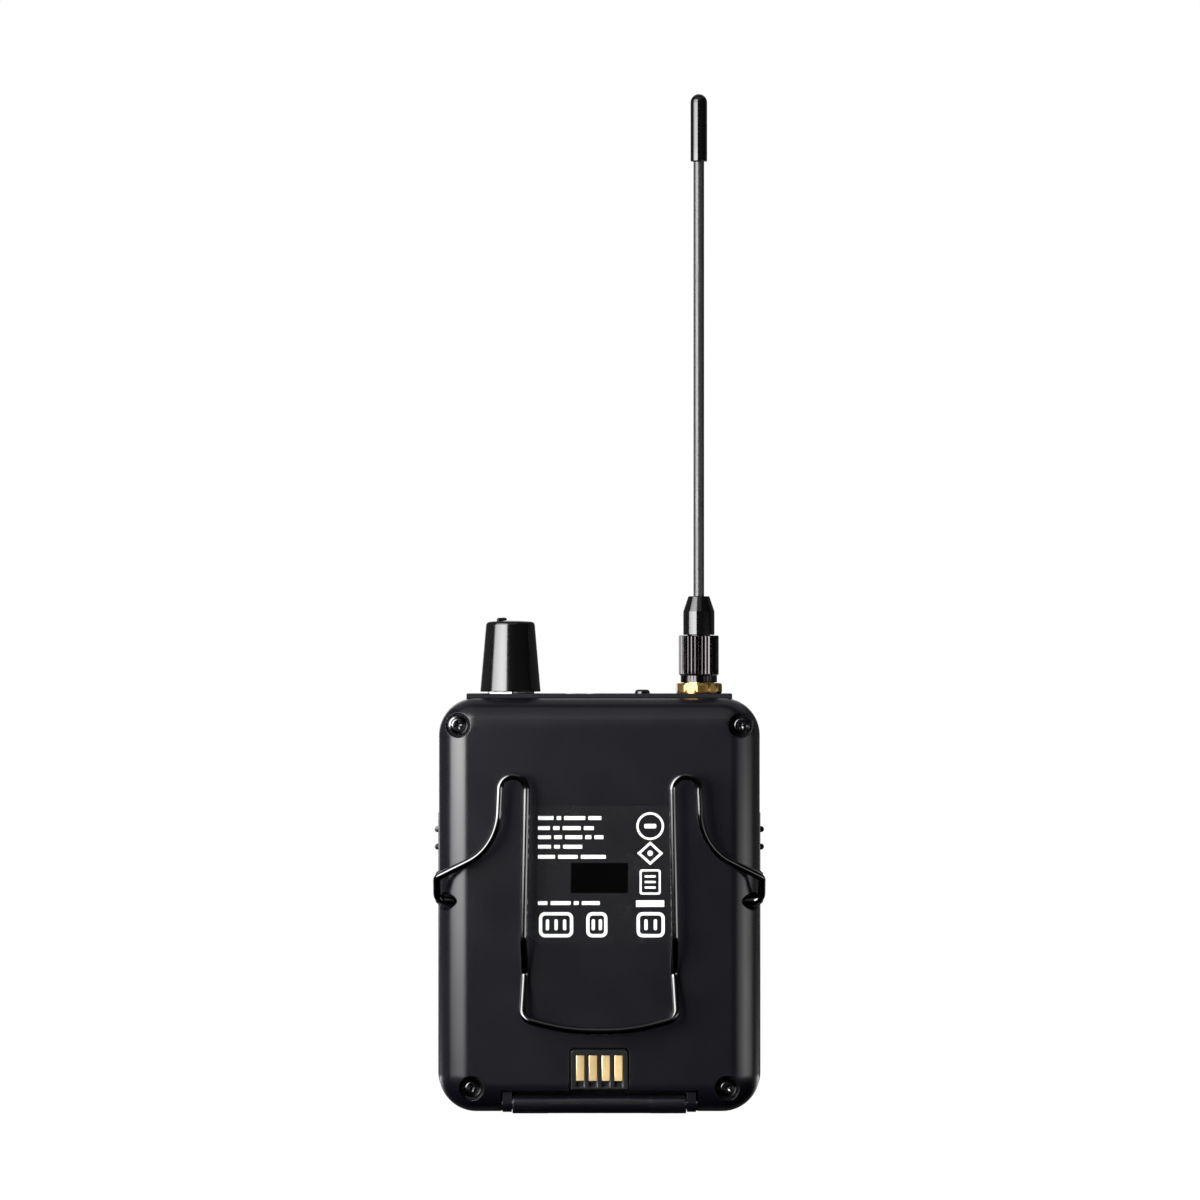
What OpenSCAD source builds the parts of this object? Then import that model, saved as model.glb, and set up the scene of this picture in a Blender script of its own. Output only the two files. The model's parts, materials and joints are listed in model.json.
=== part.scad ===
// Wireless bodypack: a two-shell case with a flip-down battery door, a spring-wire belt clip,
// a rotary volume knob and a screw-on whip antenna.  All sizes are in millimetres.
//
// +X is to the right as seen from the clip side, +Y runs from the clip side towards the door
// side, and +Z is up, along the antenna.  The origin is on the bottom face of the case, centred
// left to right and front to back.

/* [Case] */
// Width of the case, left to right
case_w = 64; // [63:0.5:68]
// Height of the two shells, without the top panel
case_h = 82.5; // [82:0.5:88]
// Depth of the case, back face to front face
case_d = 23; // [23:0.5:24]
// Radius of the four corners of the outline
corner_r = 7.5; // [7:0.5:8]
// Rounding between the sides and the back face
back_r = 6; // [5.5:0.5:6.5]
// Rounding between the sides and the front face
front_r = 4; // [3.5:0.5:4.5]
// Wall thickness of the shells
wall = 1.8; // [1.6:0.1:2]
// Open width of the seam lines between mouldings
seam = 0.12; // [0.06:0.02:0.2]

/* [Battery door] */
// Height of the door's top edge
door_h = 59.4; // [59:0.1:60]
// Wall thickness of the door
door_wall = 1.6; // [1.4:0.1:1.8]
// How far the door's sides stand proud of the case
door_proud = 0.25; // [0.2:0.05:0.35]
// Length of the hinge barrel on the door
barrel_len = 34.6; // [30:0.2:35]
// Outside radius of the hinge barrel
barrel_r = 1.95; // [1.8:0.05:1.95]
// Radius of the hinge pin
hinge_pin_r = 0.75; // [0.6:0.05:0.9]

/* [Belt clip] */
// Radius of the spring wire
wire_r = 0.75; // [0.6:0.05:0.8]
// Height of the clip's pivot above the bottom face
clip_z = 42; // [41:0.5:44]
// Distance of the upper loops from the back face, to the wire's centre
clip_standoff = 5.5; // [5:0.25:6]

/* [Top controls] */
// Position of the volume knob, left of centre
knob_x = -17.8; // [-18.5:0.1:-17]
// Radius of the knob at its foot
knob_foot_r = 6.1; // [6:0.05:6.3]
// Radius of the knob at its top
knob_top_r = 4.85; // [4.5:0.05:5]
// Position of the audio jack
jack_x = -4; // [-5:0.5:-3]
// Radius of the bore that takes the plug
jack_bore_r = 1.8; // [1.75:0.01:1.85]
// Position of the status light
light_x = 8.6; // [8:0.1:9]

/* [Antenna] */
// Position of the antenna, right of centre
antenna_x = 19.9; // [19:0.1:20.2]
// Height of the antenna's tip above the bottom face
antenna_top = 203.2; // [150:0.1:220]
// Radius of the whip
whip_r = 1.07; // [0.9:0.01:1.2]
// Number of flutes round the coupling nut
knurl_count = 32; // [24:2:36]

/* [Hidden] */
$fn = 64;

// Colours
moulded_black = [0.09, 0.09, 0.10];
gloss_black = [0.03, 0.03, 0.03];
label_black = [0.05, 0.05, 0.06];
gold = [0.86, 0.68, 0.32];
nickel = [0.75, 0.75, 0.76];
board_green = [0.05, 0.28, 0.14];
smoke = [0.12, 0.12, 0.13];
cell_body = [0.16, 0.17, 0.20];

// Case planes
half_w = case_w / 2;
half_d = case_d / 2;
corner_x = half_w - corner_r;
seam_y = -4;                       // back shell meets front shell
door_y = 0.5;                      // door sides meet front shell
gap = 0.1;                         // fitting gap between parts that don't move
slip = 0.15;                       // gap round parts that move
past = 1;                          // how far a cutter runs past the face it cuts
door_x = half_w + door_proud;      // outer face of the door's sides
back_in = -half_d + wall;          // inner face of the back wall
front_in = half_d - wall;          // inner face of the front wall

// Screws that close the case
top_screw = [28.1, 77];            // x and z of the upper pair, from the middle
low_screw = [25.4, 4.85];
screw_recess_r = 2.5;
screw_seat_y = -8.2;               // floor of the recess
screw_head_r = 1.9;
screw_head_h = 1.4;
screw_shank_r = 1;
screw_len = 8;
pillar_r = 3.4;
rim_chamfer = 0.25;

// Top panel
panel_half_w = 26.5;
panel_half_d = 5.6;
panel_top = case_h + 0.7;
panel_flange = 1.2;                // reach and thickness of the flange under the wall
panel_foot = case_h - wall - 1.5;   // underside of the panel

// Hinge
hinge_y = -8.3;
hinge_z = barrel_r - 0.25;
ear_w = 1.8;
ear_x = barrel_len / 2 + slip;     // inner face of each ear
ear_end = ear_x + ear_w;
notch_z = 4.4;                     // top of the notch in the back shell
notch_half = ear_end + 0.35;
tongue_t = 1.6;                    // thickness of the door's bottom tongue
beam_z = [tongue_t + slip, 4.1];   // cross beam between the ears
swing_gap = 0.25;                  // extra room at the bottom edge for the door's swing

// Charging contacts
contact_count = 4;
contact_pitch = 2.54;
contact_w = 1.6;
contact_z = [6.3, 11.4];
window_half = 6;                   // half width of the window in the back shell
window_top = 12.9;
block_face = -half_d + 0.4;        // face of the contact block

// Rating label
label_half_w = 14.1;
label_z = [33.5, 61.2];
label_corner = 1.7;                // cut corner at the bottom left
label_t = 0.16;
label_recess = 0.25;
patch_half_w = 5.7;
patch_z = [43.7, 49.7];
patch_t = 0.06;

// Clip pockets in the rounded back corners
pocket_r = 1.8;
pocket_floor = 28.3;               // distance of the pocket's floor from the middle
clip_y = -9.2;                     // pivot axis
stub_r = 0.7;
stub_hole_r = 0.75;
stub_end = 26.4;
guard_proud = 0.65;                // raised pad beside each pocket
guard_z = [41.8, 48.1];

// Battery bay: two AA cells side by side, wired in series
cell_r = 7.1;
cell_x = 7.45;
cell_y = 2.4;
cell_len = 50.5;
nub_r = 2.75;
nub_h = 1;
bay_half_w = 15.4;
bay_wall = 1.2;
bay_floor = -5;
bay_z = [5, 59.45];
left_cell_z = 8.2;                 // flat end of the left cell, at the bottom
right_cell_z = 5.8;                // nub of the right cell, at the bottom

// Inner tub that surrounds the bay, under the door
tub_inset = 3.8;
tub_wall = 1.2;
deck_y = 6.8;                      // face of the deck
shelf_y = door_y - gap - tub_wall; // back of the shelf that joins the tub to the side walls

// Boards
board_half_w = 24.5;
board_z = [9.2, 79];
board_y = [-7.4, -6.4];
post_x = 21;
post_z = [12, 64];
post_r = 2.2;
control_x = [16.9, 26.4];
control_z = [20, 56];
control_y = [2.6, 3.4];
button_x = 21.6;
button_z = [30, 38.5, 47];         // down, set, up
button_r = 2.4;
button_face = 8;
button_back = 5.05;
stake_z = [23, 53];
stake_r = 0.8;

// Display
lens_half_w = 18;
lens_z = [63, 76.8];
lens_r = 1.5;
lens_t = 1;
bulkhead_z = door_h + slip;        // underside of the wall above the door

// Latches in the door's sides
latch_z = [50.4, 58.1];
latch_y = [1.7, 7.2];
latch_flange = 0.8;
ridge_z = [52.5, 56];
ridge_r = 0.6;
ridge_centre = door_x + 0.15;

// Volume control
pot_nut_flats = 9.2;
pot_bush_r = 3.6;
pot_shaft_r = 3;
knob_foot = panel_top + 0.4;
knob_top = 97.6;                   // height of the knob's top edge
knob_crown = 0.5;                  // rise of the domed top
knob_edge_r = 0.8;

// Antenna, from the panel up
socket_flats = 9;
socket_nut_h = 2.15;
socket_r = 3.1;
socket_top = 90.2;
nut_foot = panel_top + socket_nut_h + 0.1;
nut_skirt_top = 86.8;
nut_top = 94.85;
nut_r = 4;
nut_skirt_r = 3.68;
nut_bore_r = 3.25;
nut_neck_r = 2.35;
nut_neck_z = 91.6;
boot_r = 3.16;
boot_top_r = 2.13;
boot_foot = nut_top + 0.1;
boot_shoulder = 99.65;
boot_top = 102.7;
cap_r = 1.68;
cap_foot = 189.6;
pin_r = 0.46;

// ---------------------------------------------------------------- helpers

module block(lo, hi) translate(lo) cube(hi - lo);

module both_sides() {
    children();
    mirror([1, 0, 0]) children();
}

module rod_x(y, z, x0, x1, r) translate([x0, y, z]) rotate([0, 90, 0]) cylinder(r = r, h = x1 - x0);

module rod_y(x, z, y0, y1, r) translate([x, y0, z]) rotate([-90, 0, 0]) cylinder(r = r, h = y1 - y0);

module rod_z(x, y, z0, z1, r) translate([x, y, z0]) cylinder(r = r, h = z1 - z0);

module tube_z(x, y, z0, z1, outer, inner) difference() {
    rod_z(x, y, z0, z1, outer);
    rod_z(x, y, z0 - past, z1 + past, inner);
}

// Plate with rounded corners, standing in the XZ plane between y0 and y1
module round_plate(x0, x1, z0, z1, y0, y1, r) {
    block([x0 + r, y0, z0], [x1 - r, y1, z1]);
    block([x0, y0, z0 + r], [x1, y1, z1 - r]);
    for (x = [x0 + r, x1 - r]) for (z = [z0 + r, z1 - r]) rod_y(x, z, y0, y1, r);
}

module hex_nut(x, z0, z1, flats, bore_r) translate([x, 0, z0]) difference() {
    rotate([0, 0, 96]) cylinder(r = flats / sqrt(3), h = z1 - z0, $fn = 6);
    translate([0, 0, -past]) cylinder(r = bore_r, h = z1 - z0 + 2 * past);
}

function arc(centre, r, from, to, steps) =
    [for (i = [0:steps]) let (a = from + (to - from) * i / steps) centre + r * [cos(a), sin(a)]];

function unit(v) = v / norm(v);

// Round tube along a path.  ref is a direction that the path never follows.
module sweep(path, r, ref, sides) {
    last = len(path) - 1;
    rings = [for (i = [0:last])
        let (t = unit(path[min(i + 1, last)] - path[max(i - 1, 0)]),
             n = unit(cross(t, ref)), b = cross(n, t))
        for (j = [0:sides - 1]) path[i] + r * (cos(360 * j / sides) * n + sin(360 * j / sides) * b)];
    walls = [for (i = [0:last - 1]) for (j = [0:sides - 1])
        let (k = (j + 1) % sides)
        [i * sides + j, i * sides + k, (i + 1) * sides + k, (i + 1) * sides + j]];
    start_cap = [for (j = [sides - 1:-1:0]) j];
    end_cap = [for (j = [0:sides - 1]) last * sides + j];
    polyhedron(rings, concat(walls, [start_cap, end_cap]), convexity = 8);
}

// Path through corner points [x, y, z, bend radius], with each corner rounded to its radius
function corner(p) = [p[0], p[1], p[2]];

function bend(a, b, c, r, steps) =
    let (u = unit(b - a), v = unit(c - b), turn = acos(max(-1, min(1, u * v))),
         start = b - u * r * tan(turn / 2), side = unit(v - u * (u * v)))
    [for (i = [0:steps]) let (w = turn * i / steps) start + r * (sin(w) * u + (1 - cos(w)) * side)];

function bent_path(pts, steps) = [
    corner(pts[0]),
    for (i = [1:len(pts) - 2])
        each bend(corner(pts[i - 1]), corner(pts[i]), corner(pts[i + 1]), pts[i][3], steps),
    corner(pts[len(pts) - 1])
];

// ---------------------------------------------------------------- case form

// Section through an edge of the case, from the corner axis outwards
module edge_profile(inset) {
    reach = corner_r - inset;
    depth = half_d - inset;
    rb = max(back_r - inset, 0.5);
    rf = max(front_r - inset, 0.3);
    translate([0, -depth]) square([reach - rb, rb]);
    translate([0, rb - depth]) square([reach, 2 * depth - rb - rf]);
    translate([0, depth - rf]) square([reach - rf, rf]);
    translate([reach - rb, rb - depth]) intersection() {
        circle(rb);
        translate([0, -rb]) square(rb);
    }
    translate([reach - rf, depth - rf]) intersection() {
        circle(rf);
        square(rf);
    }
}

// The whole case as one solid, with every face moved in by inset and the sides out by widen
module rounded_case(inset = 0, widen = 0) {
    cx = corner_x + widen;
    depth = half_d - inset;
    height = case_h - 2 * corner_r;
    block([-cx, -depth, corner_r], [cx, depth, corner_r + height]);
    both_sides() translate([cx, 0, corner_r]) linear_extrude(height) edge_profile(inset);
    translate([0, 0, case_h / 2]) for (end = [0, 1]) mirror([0, 0, end]) {
        translate([cx, 0, height / 2]) rotate([0, -90, 0]) linear_extrude(2 * cx)
            edge_profile(inset);
        both_sides() translate([cx, 0, height / 2]) rotate([-90, 0, 0]) rotate([0, 0, -90])
            rotate_extrude(angle = 90) edge_profile(inset);
    }
}

// Runs its children at the four case screws
module at_screws() for (p = [top_screw, low_screw]) both_sides() translate([p[0], 0, p[1]]) children();

module panel_opening(y0, y1) block([-panel_half_w - gap, y0, panel_foot - gap],
                                   [panel_half_w + gap, y1, case_h + past]);

module label_outline(grow, y0, y1) {
    x = label_half_w + grow;
    lo = label_z[0] - grow;
    hi = label_z[1] + grow;
    translate([0, y1, 0]) rotate([90, 0, 0]) linear_extrude(y1 - y0)
        polygon([[-x, hi], [x, hi], [x, lo], [label_corner - x, lo], [-x, lo + label_corner]]);
}

// ---------------------------------------------------------------- shells

module back_shell() color(moulded_black) difference() {
    union() {
        difference() {
            rounded_case();
            rounded_case(wall);
            block([-case_w, seam_y - seam / 2, -past], [case_w, case_d, case_h + past]);
        }
        intersection() {
            rounded_case(wall / 2);
            union() {
                at_screws() rod_y(0, 0, -half_d, seam_y - seam / 2, pillar_r);
                both_sides() rod_x(clip_y, clip_z, stub_end - 1, half_w, pocket_r + 1.2);
            }
        }
        both_sides() clip_guard();
    }
    panel_opening(-panel_half_d - gap, 0);
    block([-notch_half, -case_d, -past], [notch_half, case_d, notch_z]);
    contact_window();
    label_outline(0.05, -half_d - past, -half_d + label_recess);
    at_screws() {
        rod_y(0, 0, -case_d, screw_seat_y, screw_recess_r);
        rod_y(0, 0, -case_d, case_d, screw_shank_r + 0.15);
    }
    both_sides() {
        rod_x(clip_y, clip_z, pocket_floor, case_w, pocket_r);
        rod_x(clip_y, clip_z, stub_end - 0.2, case_w, stub_hole_r);
    }
}

// Raised pad on the side, with sloping ends
module clip_guard() {
    root_x = half_w - wall / 2;
    top_x = half_w + guard_proud;
    translate([0, seam_y - seam / 2, 0]) rotate([90, 0, 0]) linear_extrude(2.6)
        polygon([[root_x, guard_z[0] - 0.6], [half_w, guard_z[0] - 0.6], [top_x, guard_z[0]],
                 [top_x, guard_z[1] - 0.6], [half_w, guard_z[1]], [root_x, guard_z[1]]]);
}

module contact_window() {
    block([-window_half, -case_d, notch_z - past], [window_half, back_in + past, window_top - 1]);
    block([1 - window_half, -case_d, notch_z], [window_half - 1, back_in + past, window_top]);
    both_sides() rod_y(window_half - 1, window_top - 1, -case_d, back_in + past, 1);
}

module front_shell() color(moulded_black) difference() {
    union() {
        front_walls();
        front_tub();
        battery_bay();
        hinge_ears();
        screw_bosses();
        board_posts();
    }
    panel_opening(0.05 + seam_y, panel_half_d + gap);
    at_screws() rod_y(0, 0, seam_y - past, seam_y + screw_len - 3.9, screw_shank_r + 0.02);
    rod_x(hinge_y, hinge_z, -ear_end - past, ear_end + past, hinge_pin_r + 0.02);
    display_opening();
    for (z = button_z) rod_y(button_x, z, deck_y - tub_wall - past, deck_y + past, button_r + 0.1);
    for (z = post_z) both_sides() rod_y(post_x, z, board_y[1] - past, -2, 0.82);
    tongue_space();
    block([-case_w, door_y - swing_gap, -past], [case_w, case_d, 1]);
}

// Outer walls: a ring below the door's edge plane, and the full depth above the door
module front_walls() difference() {
    rounded_case();
    rounded_case(wall);
    block([-case_w, -case_d, -past], [case_w, seam_y + seam / 2, case_h + past]);
    block([-case_w, door_y - gap, -past], [case_w, case_d, bulkhead_z]);
}

module front_tub() {
    deck_back = deck_y - tub_wall;
    difference() {
        intersection() {
            rounded_case(wall / 2);
            block([-case_w, shelf_y, 0], [case_w, door_y - gap, bulkhead_z + tub_wall]);
        }
        rounded_case(tub_inset + tub_wall);
    }
    difference() {
        intersection() {
            rounded_case(tub_inset);
            block([-case_w, shelf_y, 0], [case_w, deck_y, bulkhead_z]);
        }
        intersection() {
            rounded_case(tub_inset + tub_wall);
            block([-case_w, -case_d, 0], [case_w, deck_back, case_h]);
        }
        bay_space(deck_y + past);
    }
    intersection() {
        rounded_case(wall / 2);
        block([-case_w, seam_y + seam / 2, bulkhead_z], [case_w, case_d, bulkhead_z + tub_wall]);
    }
    for (z = stake_z) rod_y(button_x, z, control_y[0] - 0.3, deck_back + 0.5, stake_r);
}

module bay_space(top_y) block([-bay_half_w, bay_floor, bay_z[0]], [bay_half_w, top_y, bay_z[1]]);

module battery_bay() difference() {
    block([-bay_half_w - bay_wall, bay_floor - bay_wall, bay_z[0] - bay_wall],
          [bay_half_w + bay_wall, deck_y, bulkhead_z + tub_wall]);
    bay_space(case_d);
}

module hinge_ears() {
    both_sides() {
        block([ear_x, hinge_y, 0], [ear_end, door_y - gap, beam_z[1]]);
        rod_x(hinge_y, barrel_r, ear_x, ear_end, barrel_r);
        block([ear_x, hinge_y - barrel_r, barrel_r], [ear_end, hinge_y, beam_z[1]]);
    }
    block([-ear_end, hinge_y + barrel_r + 0.3, beam_z[0]], [ear_end, door_y - gap, beam_z[1]]);
}

// Room for the door's tongue under the beam, so that it closes flush
module tongue_space() block([-barrel_len / 2 - slip, hinge_y - case_d, -past],
                            [barrel_len / 2 + slip, case_d, tongue_t + slip]);

module screw_bosses() intersection() {
    rounded_case(wall / 2);
    at_screws() rod_y(0, 0, seam_y + seam / 2, door_y - gap, pillar_r);
}

module board_posts() both_sides() {
    rod_y(post_x, post_z[0], board_y[1] + 0.05, deck_y - tub_wall + 0.5, post_r);
    rod_y(post_x, post_z[1], board_y[1] + 0.05, front_in + 0.5, post_r);
}

module display_opening() {
    round_plate(-lens_half_w - gap, lens_half_w + gap, lens_z[0] - gap, lens_z[1] + gap,
                half_d - lens_t - 0.15, half_d + past, lens_r + gap);
    round_plate(1.2 - lens_half_w, lens_half_w - 1.2, lens_z[0] + 1.2, lens_z[1] - 1.2,
                front_in - past, half_d, lens_r);
}

module top_panel() color(moulded_black) difference() {
    union() {
        block([-panel_half_w, -panel_half_d, panel_foot], [panel_half_w, panel_half_d, panel_top]);
        block([2.5 - panel_half_w, -panel_half_d - panel_flange, panel_foot],
              [panel_half_w - 2.5, panel_half_d + panel_flange, panel_foot + panel_flange]);
    }
    rod_z(knob_x, 0, 0, case_h * 2, pot_bush_r + gap);
    rod_z(jack_x, 0, 0, case_h * 2, jack_bore_r + 1.2 + gap);
    rod_z(light_x, 0, 0, case_h * 2, 1.5 + gap);
    rod_z(antenna_x, 0, 0, case_h * 2, socket_r + gap);
}

module case_screws() color(gloss_black) at_screws() difference() {
    union() {
        rod_y(0, 0, screw_seat_y - screw_head_h, screw_seat_y, screw_head_r);
        rod_y(0, 0, screw_seat_y, screw_seat_y + screw_len, screw_shank_r);
    }
    for (turn = [45, 135]) translate([0, screw_seat_y - screw_head_h, 0]) rotate([0, turn, 0])
        cube([2.6, 1.6, 0.55], center = true);
}

module rating_label() color(label_black)
    label_outline(0, -half_d + label_recess - label_t, -half_d + label_recess);

module serial_patch() color(gloss_black)
    block([-patch_half_w, -half_d + label_recess - label_t - patch_t, patch_z[0]],
          [patch_half_w, -half_d + label_recess - label_t, patch_z[1]]);

// ---------------------------------------------------------------- charging contacts

module at_contacts() for (i = [0:contact_count - 1])
    translate([(i - (contact_count - 1) / 2) * contact_pitch, 0, 0]) children();

module contact_block() color(moulded_black) difference() {
    union() {
        block([gap - window_half, block_face, notch_z + 0.2],
              [window_half - gap, board_y[0] - gap, window_top - 1 - gap]);
        block([1 + gap - window_half, block_face, notch_z + 0.2],
              [window_half - 1 - gap, board_y[0] - gap, window_top - gap]);
        both_sides() rod_y(window_half - 1 - gap, window_top - 1 - gap, block_face,
                           board_y[0] - gap, 1);
        block([-window_half - 1, back_in + gap, corner_r - 1],
              [window_half + 1, back_in + 1.3, window_top + 1]);
    }
    at_contacts() {
        block([-contact_w / 2 - 0.02, -half_d, contact_z[0] - 0.02],
              [contact_w / 2 + 0.02, block_face + 0.3, contact_z[1] + 0.02]);
        block([-contact_w / 2 - 0.02, -half_d, contact_z[0] - 0.02],
              [contact_w / 2 + 0.02, 0, contact_z[0] + 0.32]);
        block([-contact_w / 2 - 0.02, -half_d, contact_z[0] - 1.1],
              [contact_w / 2 + 0.02, block_face + 1.2, contact_z[0]]);
    }
}

module charge_contacts() color(gold) at_contacts() {
    block([-contact_w / 2, block_face - 0.1, contact_z[0]],
          [contact_w / 2, block_face + 0.28, contact_z[1]]);
    block([-contact_w / 2, block_face, contact_z[0]],
          [contact_w / 2, board_y[0] - gap, contact_z[0] + 0.3]);
}

// ---------------------------------------------------------------- display

module display_window() color(smoke)
    round_plate(-lens_half_w, lens_half_w, lens_z[0], lens_z[1],
                half_d - lens_t - 0.1, half_d - 0.1, lens_r);

module display_module() color(gloss_black)
    block([-16, front_in - 2.2, lens_z[0] + 0.6], [16, front_in - 0.1, lens_z[1] - 0.4]);

module display_flex() color(gold) {
    block([4, board_y[1] + 0.05, lens_z[0] - 1], [12, front_in - 3, lens_z[0] - 0.8]);
    block([4, front_in - 3, lens_z[0] - 1], [12, front_in - 2.8, lens_z[0] + 4]);
    block([4, front_in - 3, lens_z[0] + 3.8], [12, front_in - 2.25, lens_z[0] + 4]);
}

// ---------------------------------------------------------------- boards

module main_board() color(board_green) difference() {
    block([-board_half_w, board_y[0], board_z[0]], [board_half_w, board_y[1], board_z[1]]);
    for (z = post_z) both_sides() rod_y(post_x, z, -case_d, case_d, 0.95);
}

module board_screws() color(nickel) for (z = post_z) both_sides() {
    rod_y(post_x, z, board_y[0] - 0.9, board_y[0], 1.6);
    rod_y(post_x, z, board_y[0], -2.4, 0.8);
}

module shield_can() color(nickel) difference() {
    block([-19, back_in + 0.5, 48], [1, board_y[0] - 0.02, 72]);
    block([-18.7, back_in + 0.8, 48.3], [0.7, 0, 71.7]);
}

module board_chips() color(gloss_black) {
    block([5, board_y[0] - 1.2, 52], [14, board_y[0] - 0.02, 61]);
    block([-12, board_y[0] - 1.1, 28], [-5, board_y[0] - 0.02, 35]);
    block([6, board_y[0] - 1, 36], [11, board_y[0] - 0.02, 42]);
    block([-20, board_y[0] - 1.6, 20], [-15, board_y[0] - 0.02, 24]);
    block([9, board_y[0] - 1.6, 66], [17, board_y[0] - 0.02, 73]);
}

module control_board() color(board_green) difference() {
    block([control_x[0], control_y[0], control_z[0]], [control_x[1], control_y[1], control_z[1]]);
    for (z = stake_z) rod_y(button_x, z, 0, case_d, stake_r + gap);
}

module tact_switches() color(nickel) for (z = button_z)
    block([button_x - 2.25, control_y[1] + 0.02, z - 2.25], [button_x + 2.25, 4.65, z + 2.25]);

// Push button on the deck, with a flange behind it
module deck_button(z) color(smoke) {
    rod_y(button_x, z, button_back, button_face, button_r);
    rod_y(button_x, z, button_back, button_back + 0.4, button_r + 0.6);
}

module button_down() deck_button(button_z[0]);

module button_set() deck_button(button_z[1]);

module button_up() deck_button(button_z[2]);

// ---------------------------------------------------------------- batteries

// AA cell standing on its flat end, at height z
module cell(x, z) {
    rod_z(x, cell_y, z, z + cell_len - nub_h, cell_r);
    rod_z(x, cell_y, z + cell_len - nub_h, z + cell_len, nub_r);
}

module battery_left() color(cell_body) cell(-cell_x, left_cell_z);

module battery_right() color(cell_body)
    translate([0, 0, 2 * right_cell_z + cell_len]) mirror([0, 0, 1]) cell(cell_x, right_cell_z);

// Conical contact spring that rises from z over height h
module contact_spring(x, z, h) {
    turns = 2.5;
    steps = 50;
    coil_r = 0.35;
    path = [for (i = [0:steps]) let (t = i / steps, r = 5.2 - 2.4 * t)
        [x + r * cos(360 * turns * t), cell_y + r * sin(360 * turns * t),
         z + coil_r + (h - 2 * coil_r) * t]];
    sweep(path, coil_r, [0, 0, 1], 8);
}

module battery_springs() color(nickel) {
    low = bay_z[0] + 0.1;
    high = bay_z[1] - 0.1;
    contact_spring(-cell_x, low, left_cell_z - low - 0.1);
    translate([0, 0, high]) mirror([0, 0, 1])
        contact_spring(cell_x, 0, high - right_cell_z - cell_len - 0.1);
}

module battery_plates() color(nickel) {
    block([-cell_x - 4, cell_y - 4, left_cell_z + cell_len + 0.1],
          [-cell_x + 4, cell_y + 4, left_cell_z + cell_len + 0.5]);
    block([cell_x - 4, cell_y - 4, right_cell_z - 0.5], [cell_x + 4, cell_y + 4, right_cell_z - 0.1]);
}

// ---------------------------------------------------------------- door and latches

module battery_door() color(moulded_black) difference() {
    union() {
        difference() {
            rounded_case(0, door_proud);
            rounded_case(door_wall, door_proud);
            block([-case_w, -case_d, -past], [case_w, door_y, case_h + past]);
            block([-case_w, -case_d, door_h], [case_w, case_d, case_h + past]);
        }
        block([-barrel_len / 2, hinge_y, 0], [barrel_len / 2, door_y + 2, tongue_t]);
        rod_x(hinge_y, hinge_z, -barrel_len / 2, barrel_len / 2, barrel_r);
    }
    rod_x(hinge_y, hinge_z, -half_w, half_w, hinge_pin_r + 0.05);
    both_sides() block([half_w - 3, latch_y[0] - gap, latch_z[0] - gap],
                       [half_w + 3, latch_y[1] + gap, latch_z[1] + gap]);
}

module hinge_pin() color(nickel)
    rod_x(hinge_y, hinge_z, -ear_end - 0.25, ear_end + 0.25, hinge_pin_r);

// Spring latch in the door's side: a pad with two grip ridges and a flange behind the wall
module latch() {
    inner = door_x - door_wall - gap;
    block([inner - 0.05, latch_y[0], latch_z[0]], [door_x, latch_y[1], latch_z[1]]);
    block([inner - latch_flange, latch_y[0] - 0.8, latch_z[0] - 0.8],
          [inner, latch_y[1] - 0.2, latch_z[1] + 0.6]);
    for (z = ridge_z) translate([ridge_centre, latch_y[0] + 0.5, z]) rotate([-90, 0, 0])
        cylinder(r = ridge_r, h = latch_y[1] - latch_y[0] - 1);
}

module latch_right() color(moulded_black) latch();

module latch_left() color(moulded_black) mirror([1, 0, 0]) latch();

// ---------------------------------------------------------------- belt clip

// Corners of the left half of the wire, from its stub to the middle of the bottom bar
clip_plane = -half_d - clip_standoff;
side_x = 32.3;
nip_y = -half_d - wire_r - 0.1;
clip_corners = [
    [-pocket_floor, clip_y, clip_z, 0],
    [-side_x, clip_y, clip_z, 1.8],
    [-side_x, clip_y - 2.8, clip_z + 4.8, 1.4],
    [-20.3, clip_plane, clip_z + 10.9, 11],
    [-19.65, clip_plane, clip_z + 25, 2.55],
    [-14.45, clip_plane, clip_z + 25, 2.55],
    [-15.05, clip_plane + 0.5, clip_z - 7.6, 3],
    [-14.8, nip_y, clip_z - 14, 2.5],
    [-15.35, clip_plane + 1.2, clip_z - 23.1, 2.4],
    [-6.2, clip_plane + 0.9, clip_z - 25.5, 40],
    [0, clip_plane + 0.9, clip_z - 25.5, 0]
];

module belt_clip() color(gloss_black) {
    half = bent_path(clip_corners, 7);
    mirrored = [for (i = [len(half) - 2:-1:0]) [-half[i][0], half[i][1], half[i][2]]];
    sweep(concat(half, mirrored), wire_r, [0, 1, 0], 12);
    both_sides() rod_x(clip_y, clip_z, stub_end, pocket_floor + 0.6, stub_r);
}

// ---------------------------------------------------------------- volume control

module volume_pot() color(nickel) difference() {
    union() {
        block([knob_x - 4.8, board_y[1] + 0.05, 72.6],
              [knob_x + 4.8, 5, panel_foot - gap]);
        rod_z(knob_x, 0, 79, knob_foot + 1.2, pot_bush_r);
    }
    rod_z(knob_x, 0, 74, case_h * 2, pot_shaft_r + 0.05);
}

module pot_nut() color(nickel)
    hex_nut(knob_x, panel_top, panel_top + 1.3, pot_nut_flats, pot_bush_r + 0.05);

module pot_shaft() color(nickel) rod_z(knob_x, 0, 74.3, 93, pot_shaft_r);

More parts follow.
